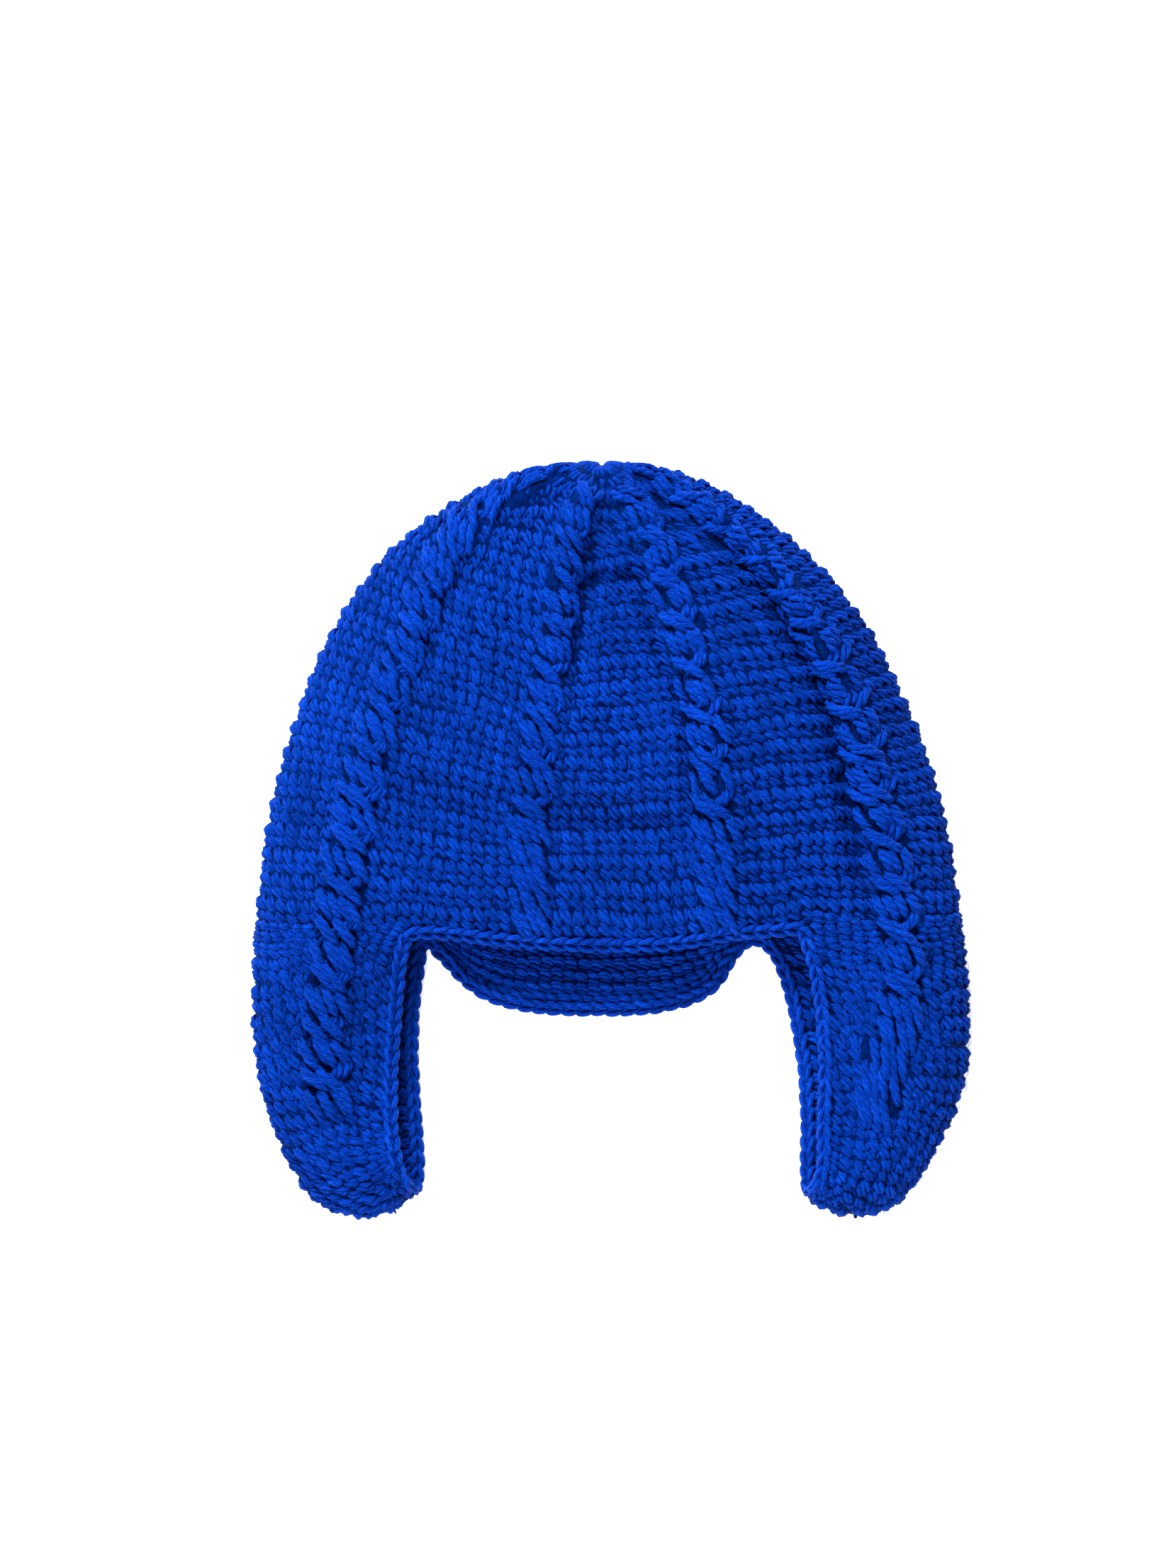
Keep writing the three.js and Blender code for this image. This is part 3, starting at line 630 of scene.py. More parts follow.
class Tree:
    """A node tree, for a finish or for what repeats along the yarn."""

    def __init__(self, tree: bpy.types.NodeTree) -> None:
        """Keeps Blender's tree, emptied."""
        self.tree = tree
        tree.nodes.clear()

    @classmethod
    def material(cls, name: str) -> tuple[bpy.types.Material, "Tree", Wire]:
        """A new material with its tree and the place on the piece, in object coordinates."""
        made = bpy.data.materials.new(name)
        made.use_nodes = True
        tree = cls(made.node_tree)
        return made, tree, tree.node("ShaderNodeTexCoord", None, None, "Object")

    def node(self, kind: str, settings: dict | None = None, values: dict | None = None,
             out: int | str = 0) -> Wire:
        """Adds one node.

        Args:
            kind: The node's type.
            settings: Its properties, set first; "stops" are a ramp's places and colours.
            values: Values or links of its inputs.
            out: Which output is wanted.

        Returns:
            That output.
        """
        node = self.tree.nodes.new(kind)
        for key, value in (settings or {}).items():
            if key == "stops":
                while len(node.color_ramp.elements) < len(value):
                    node.color_ramp.elements.new(0.5)
                for element, (place, colour) in zip(node.color_ramp.elements, value):
                    element.position = place
                    element.color = (*colour, 1)
            else:
                setattr(node, key, value)
        for key, value in (values or {}).items():
            if isinstance(value, Wire):
                self.tree.links.new(value.socket, node.inputs[key])
            else:
                node.inputs[key].default_value = value
        return Wire(self, node.outputs[out]) if node.outputs else Wire(self, None)

    def math(self, operation: str, *values: Wire | float) -> Wire:
        """A Math node of up to three values."""
        return self.node("ShaderNodeMath", {"operation": operation}, dict(enumerate(values)))

    def attribute(self, name: str, out: str) -> Wire:
        """An attribute that the piece's own mesh carries."""
        return self.node("ShaderNodeAttribute", {"attribute_name": name}, out=out)

    def noise(self, place: Wire, scale: float, detail: float = 2.0, rough: float = 0.5,
              warp: float = 0.0) -> Wire:
        """Noise of a scale, a detail, a roughness and a distortion."""
        return self.node("ShaderNodeTexNoise", None, {
            "Vector": place, "Scale": scale, "Detail": detail, "Roughness": rough,
            "Distortion": warp})

    def surface(self, values: dict) -> None:
        """Ends a finish in a Principled surface of the values given."""
        shader = self.node("ShaderNodeBsdfPrincipled", None, values)
        self.node("ShaderNodeOutputMaterial", None, {"Surface": shader})


@dataclass(frozen=True)
class YarnTree:
    """Turns a guide of strands into yarn: a slightly flattened tube round each strand."""

    sides: int = 4
    flatness: float = 0.9
    thickness: float = 1.0

    def build(self, name: str, finish: bpy.types.Material) -> bpy.types.NodeTree:
        """The geometry tree, with its sizes as inputs and the finish set at its end."""
        group = bpy.data.node_groups.new(name, "GeometryNodeTree")
        tree = Tree(group)
        for label, way, kind in (("Geometry", "INPUT", "Geometry"), ("Sides", "INPUT", "Int"),
                                 ("Flatness", "INPUT", "Float"), ("Thickness", "INPUT", "Float"),
                                 ("Geometry", "OUTPUT", "Geometry")):
            group.interface.new_socket(label, in_out=way, socket_type=f"NodeSocket{kind}")
        entry = group.nodes.new("NodeGroupInput")
        guide, sides, flat, scale = (Wire(tree, entry.outputs[i]) for i in range(4))

        def named(attribute: str, kind: str) -> Wire:
            """An attribute of the guide."""
            return tree.node("GeometryNodeInputNamedAttribute", {"data_type": kind},
                             {"Name": attribute}, "Attribute")

        lines = tree.node("GeometryNodeMeshToCurve", None, {"Mesh": guide})
        lines = tree.node("GeometryNodeSetCurveNormal", {"mode": "FREE"},
                          {"Curve": lines, "Normal": named("up", "FLOAT_VECTOR")})
        along = tree.node("GeometryNodeSplineParameter", None, None, "Length")
        lines = tree.node("GeometryNodeStoreNamedAttribute", {"data_type": "FLOAT"},
                          {"Geometry": lines, "Name": "run", "Value": along})
        ring = tree.node("GeometryNodeCurvePrimitiveCircle", None,
                         {"Resolution": sides, "Radius": 1.0})
        place = tree.node("GeometryNodeInputPosition")
        ring = tree.node("GeometryNodeStoreNamedAttribute", {"data_type": "FLOAT_VECTOR"},
                         {"Geometry": ring, "Name": "ply", "Value": place})
        squash = tree.node("ShaderNodeCombineXYZ", None, {0: flat, 1: 1.0, 2: 1.0})
        ring = tree.node("GeometryNodeTransform", None, {"Geometry": ring, "Scale": squash})
        radius = named("thick", "FLOAT") * scale
        lines = tree.node("GeometryNodeSetCurveRadius", None, {"Curve": lines, "Radius": radius})
        tube = tree.node("GeometryNodeCurveToMesh", None, {
            "Curve": lines, "Profile Curve": ring, "Fill Caps": True, "Scale": radius})
        done = tree.node("GeometryNodeSetShadeSmooth", None, {0: tube})
        done = tree.node("GeometryNodeRealizeInstances", None, {0: done})
        done = tree.node("GeometryNodeSetMaterial", None, {"Geometry": done, "Material": finish})
        leave = group.nodes.new("NodeGroupOutput")
        group.links.new(done.socket, leave.inputs[0])
        return group

    def spin(self, name: str, guide: YarnGuide, finish: bpy.types.Material) -> bpy.types.Object:
        """Makes the guide's yarn as one plain mesh.

        Args:
            name: The piece's name.
            guide: The strands.
            finish: The yarn's material.

        Returns:
            The finished piece.
        """
        thing = guide.mesh(name)
        group = self.build(f"{name} yarn", finish)
        modifier = thing.modifiers.new("yarn", "NODES")
        modifier.node_group = group
        ids = {item.name: item.identifier for item in group.interface.items_tree
               if item.item_type == "SOCKET" and item.in_out == "INPUT"}
        for label, value in (("Sides", self.sides), ("Flatness", self.flatness),
                             ("Thickness", self.thickness)):
            modifier[ids[label]] = value
        bpy.context.view_layer.update()
        evaluated = thing.evaluated_get(bpy.context.evaluated_depsgraph_get())
        mesh = bpy.data.meshes.new_from_object(evaluated)
        thing.modifiers.clear()
        old = thing.data
        thing.data = mesh
        bpy.data.meshes.remove(old)
        mesh.name = name
        return thing


@dataclass(frozen=True)
class YarnFinish:
    """Thick plied yarn: fine twisted threads with painted shade in their grooves, a soft sheen,
    a little unevenness of colour, and painted light and shade carried by each strand.
    """

    name: str
    deep: tuple[float, float, float]
    body: tuple[float, float, float]
    light: tuple[float, float, float]
    threads: int = 6
    twist: float = 430.0
    fibre_run: float = 190.0
    fuzz_scale: float = 1500.0
    patch_scale: float = 28.0
    relief: float = 0.5

    def material(self) -> bpy.types.Material:
        """Builds the material."""
        made, tree, place = Tree.material(self.name)
        side = tree.node("ShaderNodeSeparateXYZ", None, {0: tree.attribute("ply", "Vector")})
        upward = Wire(tree, side.socket.node.outputs[1])
        run = tree.attribute("run", "Fac")
        tone = tree.attribute("tone", "Fac")
        wobble = tree.noise(place, 260.0) - 0.5
        angle = upward.math("ARCTAN2", side) + run * self.twist
        thread = (angle * float(self.threads) + wobble * 4.0).math("SINE") * 0.5 + 0.5
        strand_place = tree.node("ShaderNodeCombineXYZ", None, {
            0: angle.math("COSINE"), 1: angle.math("SINE"), 2: run * self.fibre_run + tone * 7.0})
        fibre = tree.noise(strand_place, 2.2, 4.0, 0.75)
        fuzz = tree.noise(place, self.fuzz_scale, 4.0, 0.7)
        patchy = tree.noise(place, self.patch_scale, 3.0)
        # The thread stripes darken the grooves between the twisted threads: painted shade, as the
        # bump raises the same stripes. The strands' attribute adds random variation plus painted
        # light and shade.
        amount = ((fibre - 0.5) * 2.7 + (thread - 0.5) * 0.5 + (fuzz - 0.5) * 0.6 + tone * 0.08
                  + (patchy - 0.5) * 0.4 + 0.52)
        amount = tree.node("ShaderNodeClamp", None, {0: amount})
        colour = tree.node("ShaderNodeValToRGB", {
            "stops": [(0.0, self.deep), (0.5, self.body), (1.0, self.light)]}, {0: amount})
        height = thread * 0.9 + fibre * 1.6 + fuzz * 0.7
        bump = tree.node("ShaderNodeBump", None,
                         {"Strength": 0.9, "Distance": self.relief * MM, "Height": height})
        tree.surface({
            "Base Color": colour, "Roughness": fuzz * 0.2 + 0.62, "Normal": bump,
            "Sheen Weight": 0.2, "Sheen Roughness": 0.45, "Sheen Tint": SHEEN_TINT,
            "Specular IOR Level": 0.2, "Specular Tint": GLOSS_TINT})
        return made


@dataclass(frozen=True)
class GroundFinish:
    """The fabric between and behind the stitches, with a loose mesh of loops; its dark colour is
    painted shade for the pits between the stitches.
    """

    name: str
    deep: tuple[float, float, float]
    body: tuple[float, float, float]
    cell_scale: float = 380.0
    streak_scale: float = 1300.0
    fuzz_scale: float = 1100.0
    relief: float = 1.2

    def material(self) -> bpy.types.Material:
        """Builds the material."""
        made, tree, place = Tree.material(self.name)
        cells = tree.node("ShaderNodeTexVoronoi", {"feature": "SMOOTH_F1"},
                          {"Vector": place, "Scale": self.cell_scale, "Smoothness": 0.5})
        turned = tree.node("ShaderNodeMapping", None, {
            "Vector": place, "Rotation": (0.0, 0.0, 0.55), "Scale": (1.0, 0.25, 1.0)})
        streak = tree.noise(turned, self.streak_scale, 3.0, warp=0.6)
        fuzz = tree.noise(place, self.fuzz_scale, 4.0, 0.7)
        amount = tree.node("ShaderNodeClamp", None, {
            0: 0.95 - cells + (streak - 0.5) * 1.6 + (fuzz - 0.5) * 0.5})
        colour = tree.node("ShaderNodeMix", {"data_type": "RGBA"},
                           {0: amount, 6: (*self.deep, 1), 7: (*self.body, 1)}, 2)
        bump = tree.node("ShaderNodeBump", None, {
            "Strength": 1.0, "Distance": self.relief * MM, "Height": amount + streak * 0.5})
        tree.surface({
            "Base Color": colour, "Roughness": 0.85, "Normal": bump, "Sheen Weight": 0.15,
            "Sheen Roughness": 0.5, "Sheen Tint": SHEEN_TINT, "Specular IOR Level": 0.1,
            "Specular Tint": GLOSS_TINT})
        return made


@dataclass(frozen=True)
class Crochet:
    """How rows of post stitches cover a patch of fabric, in millimetres.

    Pitch and row are the stitch's width and height, depth is how far the strands' paths lie below
    the fabric's surface, ridge is how far a row's upper half is raised and its lower half lowered,
    and drift is how far the rows wave. Fibres is the share of stitches with a loose fibre. Points
    are those along each strand, and wander is how far strands stray across, down and up.
    """

    pitch: float = 4.8
    row: float = 9.6
    depth: float = 1.1
    ridge: float = 0.35
    drift: float = 0.5
    side_drift: float = 0.09
    fibres: float = 0.5
    fibre_radius: float = 0.075
    uneven_shade: float = 0.6
    uneven_lean: float = 0.2
    points: int = 5
    wander: tuple[float, float, float] = (0.06, 0.03, 0.2)
    # The last number of each strand is painted light and shade: the raised leg is lightened, the
    # curl barely, and the fills that lie low in the pits between stitches are darkened.
    strands: tuple[Strand, ...] = (
        Strand(((-0.34, -0.06, -0.8), (-0.25, 0.06, 0.4), (-0.03, 0.22, 0.85), (0.15, 0.37, 0.5),
                (0.28, 0.52, -0.7)), 0.86, 3, 1.28, 0.5, 1.8, 0.6, 0.9),
        Strand(((-0.45, 0.44, -0.8), (-0.28, 0.54, 0.35), (0.0, 0.69, 0.75), (0.2, 0.84, 0.4),
                (0.34, 1.0, -0.8)), 0.86, 3, 1.22, 0.5, 2.0, 0.6, 0.1),
        Strand(((0.5, -0.04, -0.7), (0.52, 0.12, -0.05), (0.5, 0.28, -0.05),
                (0.46, 0.45, -0.6)), 0.95, shade=-1.5),
        Strand(((0.5, 0.42, -0.7), (0.47, 0.56, -0.05), (0.46, 0.72, -0.05),
                (0.42, 0.9, -0.6)), 0.95, shade=-1.7),
        Strand(((-0.5, 0.93, -0.8), (-0.25, 0.95, -0.25), (0.1, 1.02, -0.25),
                (0.4, 1.06, -0.8)), 0.9, shade=-2.4),
    )

    def cover(self, guide: YarnGuide, patch: Patch,
              keep: Callable[[Array], Array] | None = None) -> int:
        """Lays stitches over a patch.

        Args:
            guide: Takes the strands.
            patch: The fabric's outer surface, as tall as the yarn.
            keep: Tells which stitch centres are kept.

        Returns:
            How many stitches were laid.
        """
        rows = max(1, round(patch.length / self.row))
        places, down, pitch = [], [], []
        for row in range(rows):
            middle = (row + 0.5) / rows
            width = float(np.interp(middle, np.linspace(0, 1, len(patch.widths)), patch.widths))
            count = int(round(width / self.pitch))
            shift = guide.rng.uniform(-0.2, 0.2)
            places.append((np.arange(count) + 0.5 + shift * (count > 3)) / max(count, 1))
            down.append(np.full(count, row / rows))
            pitch.append(np.full(count, 1 / max(count, 1)))
        u, v, step = (np.concatenate(part) for part in (places, down, pitch))
        if keep is not None:
            chosen = keep(patch.sample(u, v + 0.5 / rows, np.zeros(len(u)))[0])
            u, v, step = u[chosen], v[chosen], step[chosen]
        if len(u) == 0:
            return 0
        place = patch.sample(u, v, np.zeros(len(u)))[0]
        sway = guide.rng.uniform(0, 2 * math.pi, 4)
        x, y = place[:, 0], place[:, 1]
        v = v + self.drift / patch.length * (
            np.sin(x / 8 + y / 26 + sway[0]) + 0.8 * np.sin(x / 4.7 - y / 14 + sway[1]))
        u = u + self.side_drift * step * self.drift * (
            np.sin(y / 9 + sway[2]) + np.sin(y / 5 + x / 21 + sway[3]))
        shade = guide.rng.normal(0, self.uneven_shade, len(u))
        for strand in self.strands:
            shape = strand.smooth(self.points)
            slope = np.gradient(shape, axis=0)[:, :2] * [self.pitch, self.row]
            aside = across(slope) / [self.pitch, self.row]
            spread = strand.width(self.points) * strand.wide
            raised = self.ridge if strand.path[0][1] < 0.3 else -self.ridge
            shift = guide.rng.normal(0, 1, (len(u), 1, 3)) * self.wander
            lean = guide.rng.normal(0, self.uneven_lean, (len(u), 1))
            start = guide.rng.uniform(0, 2 * math.pi, (len(u), 1))
            wind = strand.turn * np.linspace(0, 1, self.points) + start
            for ply in range(strand.plies):
                local = shape[None] + shift
                angle = wind + 2 * math.pi * ply / strand.plies
                out = np.cos(angle) * spread
                a = (local[..., 0] + lean * (local[..., 1] - strand.path[2][1])
                     + out * aside[:, 0])
                b = local[..., 1] + out * aside[:, 1]
                rise = local[..., 2] + np.sin(angle) * strand.tall + raised - self.depth
                points, ups = patch.sample(u[:, None] + a * step[:, None],
                                           v[:, None] + b / rows, rise)
                # each stitch's random colour variation, plus its strand's painted light and shade
                guide.add(points, ups, strand.radius, shade=shade + strand.shade)
        self.stray(guide, patch, u, v)
        return len(u)

    def stray(self, guide: YarnGuide, patch: Patch, u: Array, v: Array) -> None:
        """Lays thin fibres that stand away from the yarn.

        Args:
            guide: Takes the fibres.
            patch: The fabric's outer surface.
            u: Where the stitches are across the patch, as shares.
            v: The same down the patch.
        """
        chosen = guide.rng.uniform(0, 1, len(u)) < self.fibres
        u, v = u[chosen], v[chosen]
        if len(u) == 0:
            return
        turn = guide.rng.uniform(0, 2 * math.pi, (len(u), 1))
        turn = turn + guide.rng.uniform(-1.4, 1.4, (len(u), 1)) * [0, 0.3, 0.6, 0.9, 1.2]
        reach = guide.rng.uniform(2.2, 5.5, (len(u), 1)) / 4 * np.arange(5)
        high = guide.rng.uniform(0.5, 1.5, (len(u), 1)) * [0, 0.7, 1, 0.9, 0.5] + 0.5
        points, ups = patch.sample(u[:, None] + np.cos(turn) * reach / patch.widths.mean(),
                                   v[:, None] + np.sin(turn) * reach / patch.length, high)
        # The loose fibres are lightened by 3.0: painted highlight where thin fibres catch the
        # light.
        guide.add(points, ups, self.fibre_radius, 0.5, 3.0)


@dataclass(frozen=True)
class CableTwist:
    """A plait of raised strands: two cross over two, then all four run on, again and again.

    Spread is the distance that one step to the side stands for, and pitch the length of a crossing
    and a plain row together. Plies of the radius lie wide and tall off a strand's path and wind by
    turn. Over and straight are how high crossing and plain strands stand, slant is how far plain
    ones lean, and strand_length is a strand's length as a share of the pitch. The uneven values are
    how far strands stray along, to the side, askew and up.
    """

    spread: float = 4.1
    pitch: float = 17.7
    radius: float = 1.05
    plies: int = 3
    wide: float = 1.2
    tall: float = 0.9
    turn: float = 6.8
    over: float = 2.7
    straight: float = 2.0
    slant: float = 0.9
    # shade lightens every cable strand: painted light on the raised cables
    shade: float = 0.9
    sides: tuple[float, ...] = (-1.35, -0.45, 0.45, 1.35)
    strand_length: float = 0.66
    strand_lead: float = 0.08
    plain_width: float = 0.88
    uneven_along: float = 0.045
    uneven_side: float = 0.17
    uneven_askew: float = 0.18
    uneven_rise: float = 0.2

    def lay(self, guide: YarnGuide, ribbon: Patch, start: float, stop: float, crossed: float,
            height: float = 1.0) -> None:
        """Lays the strands along a ribbon of fabric.

        Args:
            guide: Takes the strands.
            ribbon: Fabric under the cable, as wide as the ribbons are.
            start: Where the first crossing begins, in millimetres from the ribbon's top.
            stop: Where the last one ends.
            crossed: Where on the page, in y, the strands stop crossing and run straight.
            height: How far it stands up, as a share.
        """
        steps = np.linspace(0, 1, 8)
        wave = smoothstep(0.0, 1.0, steps)
        count = max(1, int(round((stop - start) / self.pitch)))
        pitch = (stop - start) / count
        high, low = self.over * OVER, self.straight * UNDER
        for turn in range(count):
            base = start + turn * pitch
            ends = np.array([base, base + pitch]) / ribbon.length
            near, far = ribbon.sample(np.full(2, 0.5), ends, np.zeros(2))[0]
            crossing = near[1] > crossed
            turned = math.atan2(far[0] - near[0], near[1] - far[1])
            lean = self.slant * float(np.clip(1.45 * math.tan(0.5 - turned), -0.3, 1))
            calm = self.straight * (1.0 if crossing else 0.5)
            calm_row = [(side - lean, side + lean, calm * OVER, steps) for side in self.sides]
            cross_row = [(1.75, -0.3, low, wave), (1.1, -1.2, low, wave),
                         (-1.75, 0.15 + 0.4 * lean, high, wave),
                         (-0.75, 1.15 + 0.5 * lean, high, wave)]
            rows = [(0.0, cross_row if crossing else calm_row), (0.5, calm_row)]
            for begin, strands in rows:
                for first, last, lift, ease in strands:
                    along = base + (begin + self.strand_length * steps - self.strand_lead
                                    + guide.rng.normal(0, self.uneven_along)) * pitch
                    side = first + (last - first) * ease
                    side = side + guide.rng.normal(0, self.uneven_side)
                    side = side + guide.rng.normal(0, self.uneven_askew) * (steps - 0.5)
                    tall = lift + guide.rng.normal(0, self.uneven_rise)
                    narrow = cable_share(along) * (1.0 if crossing else self.plain_width)
                    spots = np.stack([side * self.spread * narrow, along], 1)
                    aside = across(np.gradient(spots, axis=0))
                    spread = self.wide * np.interp(steps, [0, 0.3, 1], [0.8, 1, 0.55]) * narrow
                    wind = guide.rng.uniform(0, 2 * math.pi) + self.turn * steps
                    for ply in range(self.plies):
                        angle = wind + 2 * math.pi * ply / self.plies
                        off = np.cos(angle) * spread * (self.plies > 1)
                        at = spots + aside * off[:, None]
                        rise = tall + np.sin(angle) * self.tall * (self.plies > 1)
                        points, ups = ribbon.sample(at[:, 0] / RIBBON_WIDTH + 0.5,
                                                    at[:, 1] / ribbon.length, rise * height + 0.2)
                        # the cable's shade is painted light on its raised strands
                        guide.add(points[None], ups[None], self.radius, 0.6, self.shade)


class Piece:
    """What the hat's pieces share: turning grids and guides into dressed objects."""

    @staticmethod
    def shell(name: str, outer: Array, inner: Array, finish: bpy.types.Material,
              closed: bool) -> bpy.types.Object:
        """A wall between two grids, closed along its borders.

        Args:
            name: The piece's name.
            outer: Rows by columns by 3, in millimetres.
            inner: The same on the inside.
            finish: The material.
            closed: Whether the rows close on themselves and the first row on a point.

        Returns:
            The finished object.
        """
        rows, columns = outer.shape[:2]
        points = np.concatenate([outer.reshape(-1, 3), inner.reshape(-1, 3)])
        points[:, 2] = np.maximum(points[:, 2], 0.35)
        count = rows * columns
        faces: list[tuple[int, ...]] = []
        wrap = columns if closed else columns - 1
        for j in range(rows - 1):
            for i in range(wrap):
                a, b = j * columns + i, j * columns + (i + 1) % columns
                c, d = b + columns, a + columns
                faces.append((a, d, c, b))
                faces.append((a + count, b + count, c + count, d + count))
        for i in range(wrap):
            a, b = i, (i + 1) % columns
            if not closed:
                faces.append((a, b, b + count, a + count))
            a, b = a + (rows - 1) * columns, b + (rows - 1) * columns
            faces.append((b, a, a + count, b + count))
        if closed:
            faces.append(tuple(range(columns)))
            faces.append(tuple(count + i for i in reversed(range(columns))))
        else:
            for j in range(rows - 1):
                a, d = j * columns, (j + 1) * columns
                faces.append((d, a, a + count, d + count))
                a, d = a + columns - 1, d + columns - 1
                faces.append((a, d, d + count, a + count))
        mesh = bpy.data.meshes.new(name)
        mesh.from_pydata(points * MM, [], faces)
        mesh.materials.append(finish)
        mesh.shade_smooth()
        return put(name, mesh)

    @staticmethod
    def join(thing: bpy.types.Object, node: str, slot: str = "yarn") -> bpy.types.Object:
        """Lets a finished object stand for a piece of the hat."""
        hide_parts(node)
        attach(thing, "root")
        LOG.info("%s: %d faces for %s", thing.name, len(thing.data.polygons), node)
        return thing

    def backing(self, name: str, points: Array, normals: Array,
                finish: bpy.types.Material) -> bpy.types.Object:
        """The fabric behind a flap's stitches, which stands for the flap's solid."""
        outer = points - normals * GROUND_DEPTH
        inner = points - normals * (WALL - LINING_DEPTH)
        return self.join(self.shell(f"{name}_ground", outer, inner, finish, False), name)


@dataclass
class Crown(Piece):
    """The crown: two layers that meet at the side folds, with four cables on each."""

    form: HatForm
    stitch: Crochet
    twist: CableTwist
    plain_stitch: Crochet
    plain_twist: CableTwist
    hem: float = 0.8
    cable_bed: float = 2.0
    bed_width: float = 6.0
    lining: float = 0.2
    firm_ridge: float = 0.7
    back_relief: float = 0.4

    def walls(self, share: float, columns: Array) -> tuple[Array, Array]:
        """The front and the back wall along one round, at a share of the way down."""
        at = np.full(len(columns), share)
        front, back = (self.form.surface(layer, self.form.crown_spots(at, columns, layer))[0]
                       for layer in Layer)
        return front, back

    def round_grid(self, shares: Array, columns: int) -> Array:
        """Rounds of the outer surface, from the left fold over the front and back below it."""
        rows = []
        ease = np.concatenate([np.linspace(0, 1, 16)**2 * 0.5, np.linspace(0.6, 4.4, 70),
                               5 - np.linspace(1, 0, 16)**2 * 0.5])
        for share in shares:
            front, back = self.walls(share, ease)
            ring = np.concatenate([front, back[::-1][1:]])
            run = run_lengths(ring)
            even = np.linspace(0, run[-1], columns + 1)[:-1]
            rows.append(between(even, run, ring))
        return np.array(rows)

    def build_ground(self, finish: bpy.types.Material) -> bpy.types.Object:
        """The closed wall of fabric under the stitches."""
        shares = np.concatenate([[0.012, 0.025, 0.045], np.linspace(0.07, 1, 56)])
        grid = self.round_grid(shares, 180)
        ring = np.concatenate([grid[:, -1:], grid, grid[:, :1]], 1)
        down = np.gradient(ring, axis=0)
        right = np.gradient(ring, axis=1)
        normal = unit(np.cross(down, right))[:, 1:-1]
        thin = smoothstep(0, 0.1, shares)[:, None, None]
        grid[-1] += unit(grid[-1] - grid[-3]) * self.hem
        flat = grid.reshape(-1, 3)
        near = np.min([trace.nearest(flat[:, :2])[0] for trace in self.form.cables.values()],
                      axis=0)
        front = smoothstep(FOLD_LINE, FOLD_LINE + 4, flat[:, 2])
        raised = self.cable_bed * front * np.exp(-(near / self.bed_width)**2)
        outer = grid - normal * (GROUND_DEPTH - raised.reshape(grid.shape[:2])[..., None])
        inner = grid - normal * (GROUND_DEPTH + (WALL - GROUND_DEPTH) * thin + self.lining)
        return self.shell("crown_ground", outer, inner, finish, True)

    def panel(self, layer: Layer, first: int, tilt: float = 0.0) -> Patch:
        """Fabric between two cables, its rows nearly level on the page.

        Args:
            layer: The front or the back wall.
            first: Number of the cable on its left, 1 to 3.
            tilt: How far the rows stand higher at the left and lower at the right, in millimetres.

        Returns:
            The patch, left to right as seen from outside.
        """
        steps = np.linspace(0, 1, 400)
        left = self.form.meridian(first, steps)
        right = self.form.meridian(first + 1, steps)
        top = min(left[:, 1].max(), right[:, 1].max()) - PANEL_START
        rows = []
        for level in np.linspace(top, RIM_LEVEL, 110):
            drop = tilt * float(smoothstep(RIM_LEVEL, 15, level) * smoothstep(0, 30, 130 - level))
            half = CABLE_COVER * float(cable_share(CROWN_TOP - level))
            ends = [np.interp(-level - side * drop, -line[:, 1], line[:, 0]) + side * half
                    for side, line in ((1, left), (-1, right))]
            x = np.linspace(ends[0], max(ends[1], ends[0] + 0.5), 60)
            rim = self.form.rim(layer, x)
            y = (level + drop * np.linspace(1, -1, len(x))
                 + (rim - RIM_LEVEL - RIM_REACH) * smoothstep(30, 0, level - RIM_LEVEL))
            rows.append(self.form.surface(layer, np.stack([x, y], 1))[0])
        grid = np.array(rows)
        return Patch(grid if layer is Layer.FRONT else grid[:, ::-1])

    def side(self, left: bool) -> Patch:
        """Fabric from an outer cable round the side fold to the same cable on the back."""
        shares = np.linspace(0.035, 1, 110)
        rows = []
        for share in shares:
            near, far = (1, 0) if left else (4, 5)
            ends = self.form.meridian(near, [share])[0], self.form.meridian(far, [share])[0]
            gap = float(np.linalg.norm(ends[1] - ends[0]))
            half = CABLE_COVER * float(cable_share(share * CABLE_RUN))
            most = max(0.3, 1 - half / max(gap, 1))
            part = np.linspace(0, 1, 30)**2 * most
            front, back = self.walls(share, part if left else 5 - part)
            line = np.concatenate([back[::-1], front[1:]])
            rows.append(line if left else line[::-1])
        return Patch(np.array(rows))

    def ribbon(self, layer: Layer, name: str) -> Patch:
        """Fabric under a cable, narrower where the side fold is near."""
        trace = self.form.cables[name]
        points, normals = trace.points, trace.normals
        if layer is Layer.BACK:
            points, normals = points[:61], normals[:61]
        rows = []
        for point, normal in zip(points[1:], normals[1:]):
            side = -normal if normal[0] < 0 else normal
            room = float(self.form.fold.nearest(point[None])[0][0])
            half = RIBBON_WIDTH / 2
            run = np.linspace(-half, half, 27)[:, None] * min(1.0, (room + 1.5) / half)
            spots = point + side * run
            rows.append(self.form.surface(layer, spots)[0])
        grid = np.array(rows)
        return Patch(grid if layer is Layer.FRONT else grid[:, ::-1], 27)

